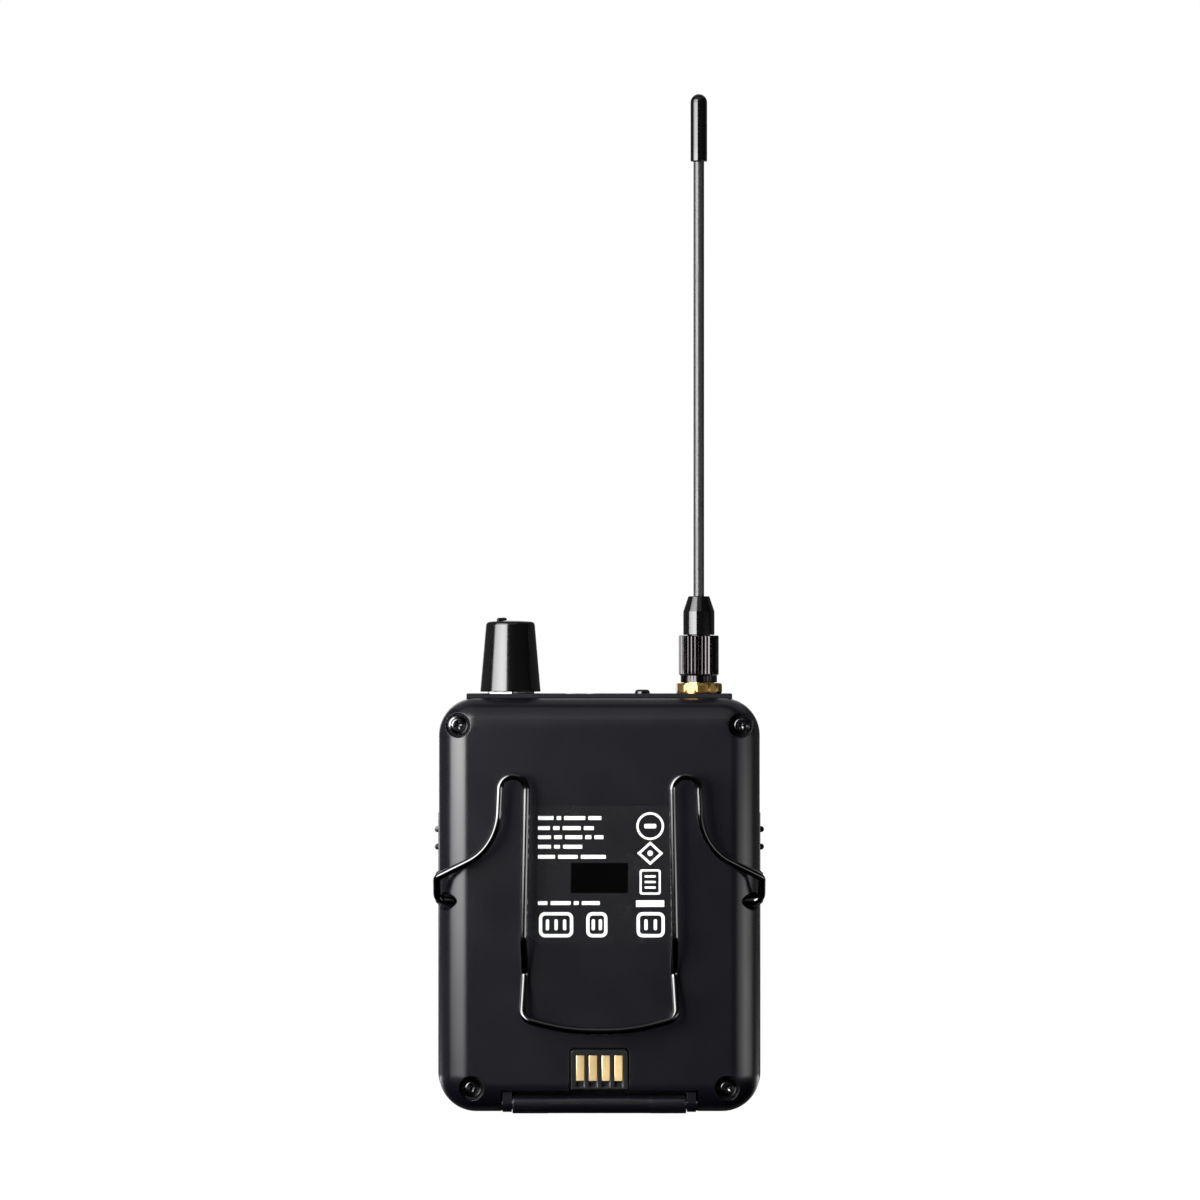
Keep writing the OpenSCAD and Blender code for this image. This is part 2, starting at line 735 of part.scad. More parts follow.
module volume_knob() color(moulded_black) {
    cavity_top = knob_foot + 1.6;
    slope_r = knob_top_r - knob_edge_r;
    translate([knob_x, 0, 0]) rotate_extrude() polygon(concat(
        [[pot_shaft_r + 0.02, cavity_top], [5.5, cavity_top], [5.5, knob_foot],
         [knob_foot_r, knob_foot]],
        arc([slope_r, knob_top - knob_edge_r], knob_edge_r, 5, 80, 5),
        [[0, knob_top + knob_crown], [0, 93.02], [pot_shaft_r + 0.02, 93.02]]));
    // Pointer ridge on the top
    translate([knob_x, 0, knob_top]) rotate([0, 0, -38])
        block([-0.75, -4, -0.4], [0.75, -1.2, 0.9]);
}

// ---------------------------------------------------------------- audio jack and light

module audio_jack() color(gloss_black) difference() {
    union() {
        block([jack_x - 3.8, board_y[1] + 0.05, 66.5],
              [jack_x + 3.8, 4, panel_foot - gap]);
        rod_z(jack_x, 0, 79, panel_top, jack_bore_r + 1.2);
    }
    rod_z(jack_x, 0, panel_top - 14, case_h * 2, jack_bore_r);
}

module light_pipe() color(smoke) {
    translate([light_x, 0, 0]) rotate_extrude() polygon(concat(
        [[0, panel_top - 3.6], [1.5, panel_top - 3.6]],
        arc([0.9, panel_top + 0.25], 0.6, 0, 75, 4),
        [[0, panel_top + 0.85]]));
    rod_z(light_x, 0, 75, panel_top - 3.6, 1);
    block([light_x - 0.9, -4.4, 74.2], [light_x + 0.9, 0.9, 76]);
}

module status_led() color("white")
    block([light_x - 1, board_y[1] + 0.05, 74.1], [light_x + 1, -4.5, 76.1]);

// ---------------------------------------------------------------- antenna

module antenna_socket() color(gold) difference() {
    union() {
        rod_z(antenna_x, 0, 74.5, socket_top, socket_r);
        rod_z(antenna_x, 0, 77, panel_foot - gap, 4.2);
    }
    rod_z(antenna_x, 0, 73, case_h * 2, 2.1);
}

module socket_nut() color(gold)
    hex_nut(antenna_x, panel_top, panel_top + socket_nut_h, socket_flats, socket_r + 0.05);

module socket_insulator() color("white") tube_z(antenna_x, 0, 74.5, 88.2, 2.08, pin_r + 0.04);

// Coaxial lead that runs down from the socket and bends back to the main board
module antenna_cable() color(gloss_black) {
    turn_z = 70;
    turn_r = 3;
    rod_z(antenna_x, 0, turn_z, 74.4, 0.65);
    translate([antenna_x, -turn_r, turn_z]) rotate([90, 0, 0]) rotate([0, 90, 0])
        rotate_extrude(angle = -90) translate([turn_r, 0]) circle(0.65);
    rod_y(antenna_x, turn_z - turn_r, board_y[1] + 0.05, -turn_r, 0.65);
}

module antenna_nut() color(gloss_black) difference() {
    union() {
        rod_z(antenna_x, 0, nut_foot, nut_skirt_top, nut_skirt_r);
        translate([antenna_x, 0, nut_skirt_top])
            cylinder(r1 = nut_skirt_r, r2 = nut_r, h = nut_r - nut_skirt_r);
        rod_z(antenna_x, 0, nut_skirt_top + nut_r - nut_skirt_r, nut_top - 0.2, nut_r);
        translate([antenna_x, 0, nut_top - 0.2]) cylinder(r1 = nut_r, r2 = nut_r - 0.2, h = 0.2);
    }
    rod_z(antenna_x, 0, nut_foot - past, nut_neck_z, nut_bore_r);
    rod_z(antenna_x, 0, nut_foot, nut_top + past, nut_neck_r);
    for (i = [0:knurl_count - 1]) translate([antenna_x, 0, nut_skirt_top + 0.2])
        rotate([0, 0, 360 * i / knurl_count]) translate([nut_r + 0.08, 0, 0])
            cylinder(r = 0.26, h = nut_top);
}

module antenna_boot() color(gloss_black) difference() {
    union() {
        rod_z(antenna_x, 0, boot_foot, boot_shoulder, boot_r);
        translate([antenna_x, 0, boot_shoulder])
            cylinder(r1 = boot_r, r2 = boot_top_r, h = boot_top - boot_shoulder);
        rod_z(antenna_x, 0, socket_top + 0.1, boot_foot, nut_neck_r - 0.05);
        rod_z(antenna_x, 0, socket_top + 0.1, nut_neck_z - 0.1, nut_bore_r - 0.15);
    }
    rod_z(antenna_x, 0, boot_foot + 1, boot_top + past, whip_r + 0.02);
    rod_z(antenna_x, 0, 0, boot_foot + 0.5, pin_r + 0.02);
}

module antenna_pin() color(gold) rod_z(antenna_x, 0, 86, boot_foot + 0.4, pin_r);

module antenna_whip() color(gloss_black)
    rod_z(antenna_x, 0, boot_foot + 1.1, antenna_top - 2, whip_r);

// Moulded cap over the whip's end, closed by a dome
module antenna_cap() color(gloss_black) translate([antenna_x, 0, 0]) rotate_extrude() polygon(concat(
    [[whip_r + 0.02, cap_foot]],
    arc([cap_r - 0.5, cap_foot + 0.5], 0.5, -70, 0, 4),
    arc([0, antenna_top - cap_r], cap_r, 0, 89.9, 12),
    [[0, antenna_top], [0, antenna_top - 1.98], [whip_r + 0.02, antenna_top - 1.98]]));

// ---------------------------------------------------------------- assembly

back_shell();
front_shell();
top_panel();
case_screws();
rating_label();
serial_patch();
contact_block();
charge_contacts();
display_window();
display_module();
display_flex();
main_board();
board_screws();
shield_can();
board_chips();
control_board();
tact_switches();
battery_left();
battery_right();
battery_springs();
battery_plates();
hinge_pin();
volume_pot();
pot_nut();
pot_shaft();
volume_knob();
audio_jack();
light_pipe();
status_led();
antenna_socket();
socket_nut();
socket_insulator();
antenna_cable();
battery_door();
latch_left();
latch_right();
belt_clip();
button_up();
button_down();
button_set();
antenna_nut();
antenna_boot();
antenna_whip();
antenna_cap();
antenna_pin();
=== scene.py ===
import json
from math import acos, atan2, ceil, cos, degrees, hypot, pi, radians, sin, sqrt, tan

import bmesh
import bpy
import numpy as np
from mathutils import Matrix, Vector


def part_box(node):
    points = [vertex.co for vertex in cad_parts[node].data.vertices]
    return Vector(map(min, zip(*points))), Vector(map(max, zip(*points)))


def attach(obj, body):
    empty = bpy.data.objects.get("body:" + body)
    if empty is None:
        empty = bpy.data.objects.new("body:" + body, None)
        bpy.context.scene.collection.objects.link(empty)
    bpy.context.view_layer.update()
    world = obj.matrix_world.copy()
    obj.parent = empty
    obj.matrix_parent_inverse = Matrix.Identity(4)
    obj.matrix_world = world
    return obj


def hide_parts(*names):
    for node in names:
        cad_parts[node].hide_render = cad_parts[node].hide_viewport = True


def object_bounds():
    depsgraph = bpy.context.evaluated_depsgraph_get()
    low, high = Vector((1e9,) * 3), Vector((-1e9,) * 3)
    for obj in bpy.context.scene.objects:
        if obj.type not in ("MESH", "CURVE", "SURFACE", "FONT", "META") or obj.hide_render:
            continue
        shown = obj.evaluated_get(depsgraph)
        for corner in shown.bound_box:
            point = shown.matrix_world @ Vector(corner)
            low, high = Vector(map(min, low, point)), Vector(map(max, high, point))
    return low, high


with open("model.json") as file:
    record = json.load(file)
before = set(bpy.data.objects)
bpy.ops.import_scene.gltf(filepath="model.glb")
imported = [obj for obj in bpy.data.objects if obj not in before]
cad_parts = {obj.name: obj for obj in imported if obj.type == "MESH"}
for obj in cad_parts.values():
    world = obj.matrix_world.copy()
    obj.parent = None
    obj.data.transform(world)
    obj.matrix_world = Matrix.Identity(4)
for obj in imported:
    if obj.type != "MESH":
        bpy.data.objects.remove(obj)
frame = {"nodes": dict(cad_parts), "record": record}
cad_box = [list(v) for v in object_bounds()]
record = frame["record"]
scene = bpy.context.scene
MM = 0.001
NODE_BODY = {n: b for b, ns in record["behaviour"]["bodies"].items() for n in ns}
NODE_SLOT = {s["node"]: s["material_slot"] for s in record["subparts"]}
JOINTS = {j["name"]: j for j in record["behaviour"]["joints"]}


def mmbox(node):
    """The node's lowest and highest corners in millimetres."""
    lo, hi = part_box(node)
    return np.array(lo) / MM, np.array(hi) / MM


# ---------------------------------------------------------------- materials

class Graph:
    """Short-hand for building a node tree."""

    def __init__(self, name):
        self.mat = bpy.data.materials.new(name)
        self.mat.use_nodes = True
        self.tree = self.mat.node_tree
        self.shader = self.tree.nodes["Principled BSDF"]
        self.output = self.tree.nodes["Material Output"]

    def add(self, kind, **values):
        """A new node with its properties and inputs set."""
        node = self.tree.nodes.new("ShaderNode" + kind)
        for key, value in values.items():
            self.set(node, key, value)
        return node

    def set(self, node, key, value):
        """Sets a node's property, or an input by its name or by its number, as i0, i1 and so on."""
        if hasattr(node, key) and key not in node.inputs:
            setattr(node, key, value)
            return
        numbered = key[0] == "i" and key[1:].isdigit()
        socket = node.inputs[int(key[1:]) if numbered else key]
        if isinstance(value, bpy.types.NodeSocket):
            self.tree.links.new(value, socket)
        else:
            socket.default_value = value

    def math(self, op, a, b=0.0, clamp=False):
        """The result of one math operation."""
        return self.add("Math", operation=op, i0=a, i1=b, use_clamp=clamp).outputs[0]

    def noise(self, coords, size, detail=2.0, rough=0.5):
        """Noise whose features are about `size` millimetres."""
        return self.add("TexNoise", Vector=coords, Scale=1.0 / size, Detail=detail,
                        Roughness=rough).outputs["Fac"]

    def ramp(self, value, lo, hi, out_lo=0.0, out_hi=1.0):
        """Maps lo..hi to out_lo..out_hi and holds the ends."""
        node = self.add("MapRange", Value=value)
        for key, v in (("From Min", lo), ("From Max", hi), ("To Min", out_lo), ("To Max", out_hi)):
            node.inputs[key].default_value = v
        return node.outputs[0]

    def mix(self, factor, a, b):
        """Blends two colours."""
        node = self.add("Mix", data_type="RGBA")
        for socket, value in ((node.inputs[0], factor), (node.inputs[6], a), (node.inputs[7], b)):
            if isinstance(value, bpy.types.NodeSocket):
                self.tree.links.new(value, socket)
            else:
                socket.default_value = value
        return node.outputs[2]


def rgb(r, g=None, b=None):
    """A colour from three values, or a grey from one."""
    return (r, r, r, 1.0) if g is None else (r, g, b, 1.0)


def color_stops(graph, factor, stops):
    """A grey ramp through (position, brightness) stops."""
    node = graph.add("ValToRGB", Fac=factor)
    elements = node.color_ramp.elements         # a new ramp has two
    stops = sorted(stops)
    for at, _ in stops[2:]:
        elements.new(at)
    for element, (at, value) in zip(elements, stops):
        element.position = at
        element.color = rgb(value)
    return node.outputs[0]


BLOTCH_SIZE, RUB_SIZE, WEAR_SIZE, TINT_SIZE = 9.0, 1.0, 1.6, 3.5      # mm
RUB_STRETCH, RUB_TURN = (2.2, 2.2, 0.25), (0.3, 0.5, 0.7)             # per axis; radians
SHADE = 0.07                    # how far the base colour drifts either way
GRAIN_ROUGHNESS = 0.008         # how far the fine bumps change the roughness


def surface(name, color, rough, metal=0.0, grain=(0.25, 0.004), blotch=0.05, stretch=(1, 1, 1),
            scratch=0.04, edge=0.12, wear=0.35, wear_color=None, specular=0.5, tint=None,
            transmission=0.0):
    """A moulded, painted or plated surface.

    grain is (size, height) of the fine bumps in mm, stretch squeezes them per axis, blotch is the
    slow change of roughness, scratch the change from fine rubbing marks, edge the radius in mm that
    softens edges, wear how far edges are rubbed towards wear_color, and tint a second colour in
    patches.
    """
    g = Graph(name)
    coords = g.add("TexCoord").outputs["Object"]
    scaled = g.add("Mapping", Vector=coords, Scale=[s / MM for s in stretch]).outputs[0]
    plain = g.add("Mapping", Vector=coords, Scale=[1 / MM] * 3).outputs[0]
    fine = g.noise(scaled, grain[0], 2.0, 0.5)
    slow = g.noise(plain, BLOTCH_SIZE, 2.0)
    rubbed = g.add("Mapping", Vector=coords, Scale=[s / MM for s in RUB_STRETCH],
                   Rotation=RUB_TURN).outputs[0]
    marks = g.ramp(g.noise(rubbed, RUB_SIZE, 4.0, 0.7), 0.55, 0.75)
    soft = g.add("Bevel", samples=4, Radius=edge * MM).outputs[0]
    geometry = g.add("NewGeometry")
    facing = g.add("VectorMath", operation="DOT_PRODUCT", i0=soft, i1=geometry.outputs["Normal"])
    edge_mask = g.ramp(facing.outputs["Value"], 0.995, 0.80)
    patchy = g.math("MULTIPLY", edge_mask, g.ramp(g.noise(plain, WEAR_SIZE, 3.0), 0.35, 0.7))
    worn = g.math("MULTIPLY", patchy, wear, clamp=True)
    darker, paler = ([c * k for c in color] for k in (1 - SHADE, 1 + SHADE))
    base = g.mix(g.ramp(slow, 0.3, 0.7), rgb(*darker), rgb(*paler))
    if tint is not None:
        base = g.mix(g.ramp(g.noise(plain, TINT_SIZE, 3.0), 0.35, 0.75, 0.0, 0.5), base, rgb(*tint))
    rubbed_color = wear_color or [min(1.0, c * 2.2 + 0.012) for c in color]
    base = g.mix(worn, base, rgb(*rubbed_color))
    r = g.math("ADD", rough, g.ramp(slow, 0.25, 0.75, -blotch, blotch))
    r = g.math("ADD", r, g.math("MULTIPLY", marks, scratch))
    r = g.math("ADD", r, g.ramp(fine, 0.3, 0.7, -GRAIN_ROUGHNESS, GRAIN_ROUGHNESS), clamp=True)
    bump = g.add("Bump", Strength=1.0, Distance=grain[1] * MM, Height=fine, Normal=soft)
    for key, value in (("Base Color", base), ("Roughness", r), ("Metallic", metal),
                       ("Normal", bump.outputs[0]), ("Specular IOR Level", specular),
                       ("Transmission Weight", transmission)):
        g.set(g.shader, key, value)
    return g.mat


BLACK = (0.002, 0.002, 0.0022)
LOOKS = {
    # Case, label and window
    "case_plastic": dict(color=(0.0022, 0.0022, 0.004), rough=0.25, grain=(0.3, 0.0007),
                         blotch=0.015, scratch=0.0, edge=0.14, wear=0.0),
    "panel_matte": dict(color=(0.012, 0.012, 0.014), rough=0.6, grain=(0.3, 0.004), blotch=0.03,
                        scratch=0.02, wear=0.0, specular=0.02),
    "block_plastic": dict(color=(0.004, 0.004, 0.0048), rough=0.3, grain=(0.15, 0.001),
                          blotch=0.02, scratch=0.0),
    # Painted highlight: a paler colour for the bright rims of the screw recesses, which are the
    # case's own black plastic
    "lip_painted_highlight": dict(color=(0.07, 0.07, 0.073), rough=0.18, grain=(0.2, 0.001), blotch=0.02,
                     scratch=0.0),
    "gloss_black_plastic": dict(color=(0.001, 0.001, 0.001), rough=0.08, grain=(0.5, 0.0003),
                                blotch=0.02, scratch=0.03, specular=0.12),
    "label_film": dict(color=(0.0035, 0.0035, 0.0048), rough=0.26, grain=(0.12, 0.0015),
                       blotch=0.02, scratch=0.0, edge=0.05),
    "white_plastic": dict(color=(0.72, 0.72, 0.7), rough=0.45, grain=(0.15, 0.002), edge=0.02,
                          wear=0.0),
    "smoked_window": dict(color=(0.62, 0.64, 0.66), rough=0.03, grain=(0.6, 0.0002), blotch=0.01,
                          scratch=0.02, transmission=0.97, edge=0.05, wear=0.0),
    "display_glass": dict(color=(0.3, 0.36, 0.27), rough=0.2, grain=(0.4, 0.0005)),
    "display_ink": dict(color=(0.02, 0.022, 0.03), rough=0.3, grain=(0.3, 0.0005), wear=0.0),
    "pipe_dark": dict(color=(0.004, 0.004, 0.005), rough=0.07, grain=(0.5, 0.0004), edge=0.05,
                      wear=0.0),
    "button_rubber": dict(color=(0.03, 0.03, 0.032), rough=0.6, grain=(0.12, 0.004)),
    # Knob, clip and antenna
    "knob_plastic": dict(color=BLACK, rough=0.15, grain=(0.16, 0.002), blotch=0.02, scratch=0.02,
                         edge=0.1, wear=0.1),
    "clip_wire": dict(color=(0.085, 0.085, 0.087), rough=0.08, metal=1.0, grain=(0.6, 0.0003),
                      blotch=0.02, scratch=0.03, edge=0.02, wear=0.0),
    "antenna_black": dict(color=BLACK, rough=0.1, grain=(0.6, 0.0001), blotch=0.01, scratch=0.02,
                          edge=0.08, wear=0.1),
    "antenna_metal": dict(color=(0.034, 0.031, 0.032), rough=0.14, metal=1.0, grain=(0.2, 0.0001),
                          blotch=0.02, scratch=0.0, edge=0.02, wear=0.0),
    "antenna_sleeve": dict(color=(0.022, 0.022, 0.023), rough=0.3, grain=(0.3, 0.001)),
    "cable_jacket": dict(color=(0.02, 0.02, 0.02), rough=0.5),
    # Metals
    "black_screw": dict(color=(0.11, 0.11, 0.114), rough=0.15, metal=1.0, grain=(0.2, 0.0008),
                        blotch=0.02, scratch=0.04, edge=0.03, wear=0.1),
    "gold_contact": dict(color=(0.97, 0.74, 0.36), rough=0.37, metal=1.0, grain=(0.15, 0.0025),
                         stretch=(1, 1, 0.12), edge=0.06, wear=0.2, wear_color=(0.95, 0.8, 0.5),
                         tint=(0.8, 0.53, 0.26)),
    "gold_plate": dict(color=(0.26, 0.165, 0.05), rough=0.2, metal=0.8, grain=(0.25, 0.003),
                       stretch=(1, 1, 4), blotch=0.05, edge=0.05, wear=0.2,
                       wear_color=(0.45, 0.33, 0.15), tint=(0.26, 0.13, 0.03)),
    "nickel_brass": dict(color=(0.2, 0.2, 0.19), rough=0.16, metal=1.0, grain=(0.2, 0.001)),
    "pin_steel": dict(color=(0.7, 0.7, 0.7), rough=0.2, metal=1.0, grain=(0.2, 0.001)),
    "tin_plate": dict(color=(0.62, 0.62, 0.6), rough=0.3, metal=1.0, grain=(0.3, 0.002)),
    "zinc_steel": dict(color=(0.6, 0.6, 0.61), rough=0.28, metal=1.0, grain=(0.2, 0.002)),
    # Inside
    "cell_sleeve": dict(color=(0.02, 0.022, 0.03), rough=0.22, grain=(0.5, 0.001)),
    "cell_band": dict(color=(0.3, 0.31, 0.33), rough=0.3, grain=(0.4, 0.001), blotch=0.03,
                      wear=0.1),
    "flex_film": dict(color=(0.45, 0.22, 0.05), rough=0.3, grain=(0.5, 0.002)),
    "circuit_board": dict(color=(0.012, 0.075, 0.035), rough=0.32, grain=(0.5, 0.004),
                          tint=(0.02, 0.12, 0.05)),
    "chip_resin": dict(color=(0.015, 0.015, 0.016), rough=0.5, grain=(0.1, 0.003)),
}
MATERIALS = {name: surface(name, **look) for name, look in LOOKS.items()}

# The dome of the light is dark, though its slot is the clear window's
NODE_LOOK = {"light_pipe": "pipe_dark"}
for node_name, node_object in frame["nodes"].items():
    node_object.data.materials.clear()
    node_object.data.materials.append(MATERIALS[NODE_LOOK.get(node_name, NODE_SLOT[node_name])])


# ---------------------------------------------------------------- mesh helpers

def piece(name, verts, faces, node, slot=None, replaces=True, sharp=32.0, look=None):
    """A new mesh object in millimetres that rides with the body of `node`."""
    mesh = bpy.data.meshes.new(name)
    mesh.from_pydata([tuple(float(c) * MM for c in v) for v in verts], [],
                     [tuple(f) for f in faces])
    return finish_piece(name, mesh, node, slot, replaces, sharp, look)


def finish_piece(name, mesh, node, slot=None, replaces=True, sharp=32.0, look=None):
    """Shades a mesh smooth up to `sharp` degrees, gives it its finish and puts it on its body.

    The finish is the node's slot, another slot, or, with look, one that has no slot of its own.
    """
    mesh.validate()
    bm = bmesh.new()
    bm.from_mesh(mesh)
    bmesh.ops.recalc_face_normals(bm, faces=bm.faces)
    bm.to_mesh(mesh)
    bm.free()
    for polygon in mesh.polygons:
        polygon.use_smooth = True
    mesh.set_sharp_from_angle(angle=radians(sharp))
    mesh.materials.clear()
    slot = slot or NODE_SLOT[node]
    mesh.materials.append(MATERIALS[look or slot])
    obj = bpy.data.objects.new(name, mesh)
    scene.collection.objects.link(obj)
    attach(obj, NODE_BODY[node])
    if replaces:
        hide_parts(node)
    weighted = obj.modifiers.new("weighted_normals", "WEIGHTED_NORMAL")
    weighted.keep_sharp = True
    weighted.weight = 70
    return obj


def merged(*parts):
    """Several (verts, faces) as one."""
    verts, faces = [], []
    for v, f in parts:
        base = len(verts)
        verts += [tuple(p) for p in v]
        faces += [tuple(i + base for i in face) for face in f]
    return verts, faces


NEARLY_STRAIGHT = 1.55          # radians, half a corner's angle, past which it isn't rounded


def soften(points, radii, steps=4):
    """A 2-D polyline with each inner corner rounded to its radius. The end radii aren't used."""
    out = [tuple(points[0])]
    for i in range(1, len(points) - 1):
        a, b, c = (np.array(points[k], float) for k in (i - 1, i, i + 1))
        u, v = (a - b) / np.linalg.norm(a - b), (c - b) / np.linalg.norm(c - b)
        half = acos(max(-1.0, min(1.0, float(u @ v)))) / 2
        r = radii[i]
        if r <= 0 or half > NEARLY_STRAIGHT:
            out.append(tuple(b))
            continue
        reach = min(r / tan(half), 0.49 * np.linalg.norm(a - b), 0.49 * np.linalg.norm(c - b))
        r = reach * tan(half)
        centre = b + (u + v) / np.linalg.norm(u + v) * r / sin(half)
        start, end = b + u * reach - centre, b + v * reach - centre
        a0, a1 = atan2(start[1], start[0]), atan2(end[1], end[0])
        turn = (a1 - a0 + pi) % (2 * pi) - pi
        for k in range(steps + 1):
            w = a0 + turn * k / steps
            out.append((centre[0] + r * cos(w), centre[1] + r * sin(w)))
    out.append(tuple(points[-1]))
    return out


ON_AXIS = 1e-6                  # mm, a radius below this is on the axis


def lathe(profile, x, y, count, radius_at=None):
    """Revolves (r, z) points about a vertical axis. The profile runs from axis to axis, or closes.

    radius_at(r, z, angle) changes the radius round the axis, for flutes and flats.
    """
    open_ends = profile[0][0] < ON_AXIS and profile[-1][0] < ON_AXIS
    verts, rings = [], []
    for r, z in profile:
        if r < ON_AXIS:
            rings.append([len(verts)])
            verts.append((x, y, z))
            continue
        ring = []
        for k in range(count):
            a = 2 * pi * k / count
            q = radius_at(r, z, a) if radius_at else r
            ring.append(len(verts))
            verts.append((x + q * cos(a), y + q * sin(a), z))
        rings.append(ring)
    pairs = list(zip(rings, rings[1:]))
    if not open_ends:
        pairs.append((rings[-1], rings[0]))
    faces = []
    for lower, upper in pairs:
        for k in range(count):
            n = (k + 1) % count
            if len(lower) == 1 and len(upper) == 1:
                continue
            if len(lower) == 1:
                faces.append((lower[0], upper[n], upper[k]))
            elif len(upper) == 1:
                faces.append((lower[k], lower[n], upper[0]))
            else:
                faces.append((lower[k], lower[n], upper[n], upper[k]))
    return verts, faces


def lathe_open(profile, x, y, count):
    """Revolves a closed profile in which only some points touch the axis."""
    start = max(i for i, point in enumerate(profile) if point[0] < ON_AXIS)
    return lathe(profile[start:] + profile[:start], x, y, count)


def sweep(path, radius, sides, reference=(0, 1, 0)):
    """A round tube along a path, closed at both ends, with a radius for each point."""
    path = np.array(path, float)
    verts, faces = [], []
    for i, point in enumerate(path):
        t = path[min(i + 1, len(path) - 1)] - path[max(i - 1, 0)]
        t /= np.linalg.norm(t)
        n = np.cross(t, reference)
        n /= np.linalg.norm(n)
        b = np.cross(n, t)
        for k in range(sides):
            a = 2 * pi * k / sides
            verts.append(point + radius[i] * (cos(a) * n + sin(a) * b))
    for i in range(len(path) - 1):
        for k in range(sides):
            n = (k + 1) % sides
            faces.append((i * sides + k, i * sides + n, (i + 1) * sides + n, (i + 1) * sides + k))
    faces.append(tuple(range(sides - 1, -1, -1)))
    faces.append(tuple((len(path) - 1) * sides + k for k in range(sides)))
    return verts, faces


def plate(outline, y0, y1):
    """A prism from a 2-D (x, z) outline between two depths."""
    n = len(outline)
    verts = [(x, y0, z) for x, z in outline] + [(x, y1, z) for x, z in outline]
    faces = [tuple(range(n)), tuple(range(2 * n - 1, n - 1, -1))]
    faces += [(k, n + k, n + (k + 1) % n, (k + 1) % n) for k in range(n)]
    return verts, faces


def rounded_rect(x0, x1, z0, z1, r, steps=6):
    """A 2-D outline of a rectangle with round corners."""
    out = []
    corners = ((x1 - r, z1 - r, 0), (x0 + r, z1 - r, 90),
               (x0 + r, z0 + r, 180), (x1 - r, z0 + r, 270))
    for cx, cz, start in corners:
        for k in range(steps + 1):
            a = radians(start + 90 * k / steps)
            out.append((cx + r * cos(a), cz + r * sin(a)))
    return out


def folded(bm, angle):
    """The edges between two faces that meet at more than this angle."""
    return [e for e in bm.edges if len(e.link_faces) == 2 and e.calc_face_angle(0.0) > angle]


def rounded(bm, edges, width, segments):
    """Rounds the edges and returns the new faces."""
    return bmesh.ops.bevel(bm, geom=edges, offset=width * MM, offset_type="OFFSET",
                           segments=segments, profile=0.5, affect="EDGES",
                           clamp_overlap=True)["faces"]


def order_faces(bm):
    """Sorts the faces by their points, since rounding adds them in an order that varies."""
    bm.verts.index_update()
    ordered = sorted(bm.faces, key=lambda face: sorted(v.index for v in face.verts))
    for rank, face in enumerate(ordered):
        face.index = rank
    bm.faces.sort()


WELD = 2e-6                     # m, points closer than this become one
FLAT, MOUTH, HARD = radians(0.6), radians(20), radians(28)      # angles between faces


def refined(node, width, lips=(), reshape=None, look=None):
    """The CAD node's shape as a clean mesh with its edges rounded to `width` millimetres.

    lips are (test, width, bright): edges whose two ends pass the test are rounded more, and bright
    ones get the lip_painted_highlight finish, a paler colour that paints a highlight on the rim.
    reshape moves the copy's points first.
    """
    bm = bmesh.new()
    bm.from_mesh(frame["nodes"][node].data)
    bmesh.ops.remove_doubles(bm, verts=bm.verts, dist=WELD)
    bmesh.ops.dissolve_limit(bm, angle_limit=FLAT, verts=bm.verts, edges=bm.edges)
    if reshape:
        for v in bm.verts:
            v.co = Vector(reshape(*(c / MM for c in v.co))) * MM
    bmesh.ops.recalc_face_normals(bm, faces=bm.faces)
    # Marks the faces of bright lips, which get the paler finish that paints a highlight on them
    mark = bm.faces.layers.int.new("lip")
    for test, lip, bright in lips:
        mouth = [e for e in folded(bm, MOUTH)
                 if all(test(*(c / MM for c in v.co)) for v in e.verts)]
        for face in rounded(bm, mouth, lip, 5):
            face[mark] = int(bright)
    rounded(bm, folded(bm, HARD), width, 3)
    order_faces(bm)
    mesh = bpy.data.meshes.new(node + "_form")
    bm.to_mesh(mesh)
    bm.free()
    obj = finish_piece(node + "_form", mesh, node, sharp=40.0, look=look)
    # The bright lips' faces take the paler finish, a painted highlight
    if lips:
        mesh.materials.append(MATERIALS["lip_painted_highlight"])
        for polygon, value in zip(mesh.polygons, mesh.attributes["lip"].data):
            polygon.material_index = value.value
    return obj


# ---------------------------------------------------------------- case details

WINDOW_TOP = 13.0               # mm, the contact window lies below this height
SCREW_RECESS = 2.5              # mm, radius
UPPER_SCREW, LOWER_SCREW = (28.1, 77.0), (25.4, 4.85)   # x and z in mm, mirrored on the left


def around(x0, z0):
    """Tests for the mouth of a screw's round recess in the back."""
    deepest, slack = -8.4, 0.06
    return lambda x, y, z: y < deepest and abs(hypot(x - x0, z - z0) - SCREW_RECESS) < slack


def contact_window_edge(x, y, z):
    """Tests for the edge of the contact window in the back's outer face."""
    deepest, half_width = -11.3, 6.1
    return y < deepest and abs(x) < half_width and z < WINDOW_TOP


def block_inset(x, y, z):
    """Draws the contact block's rim in, which leaves the gap round it."""
    deepest, rim_x, rim_z = -9.5, 4.7, 11.5
    narrower, lower = 0.84, 0.86
    if y < deepest and z < WINDOW_TOP:
        if abs(x) > rim_x:
            x = (rim_x + (abs(x) - rim_x) * narrower) * (1 if x > 0 else -1)
        if z > rim_z:
            z = rim_z + (z - rim_z) * lower
    return x, y, z


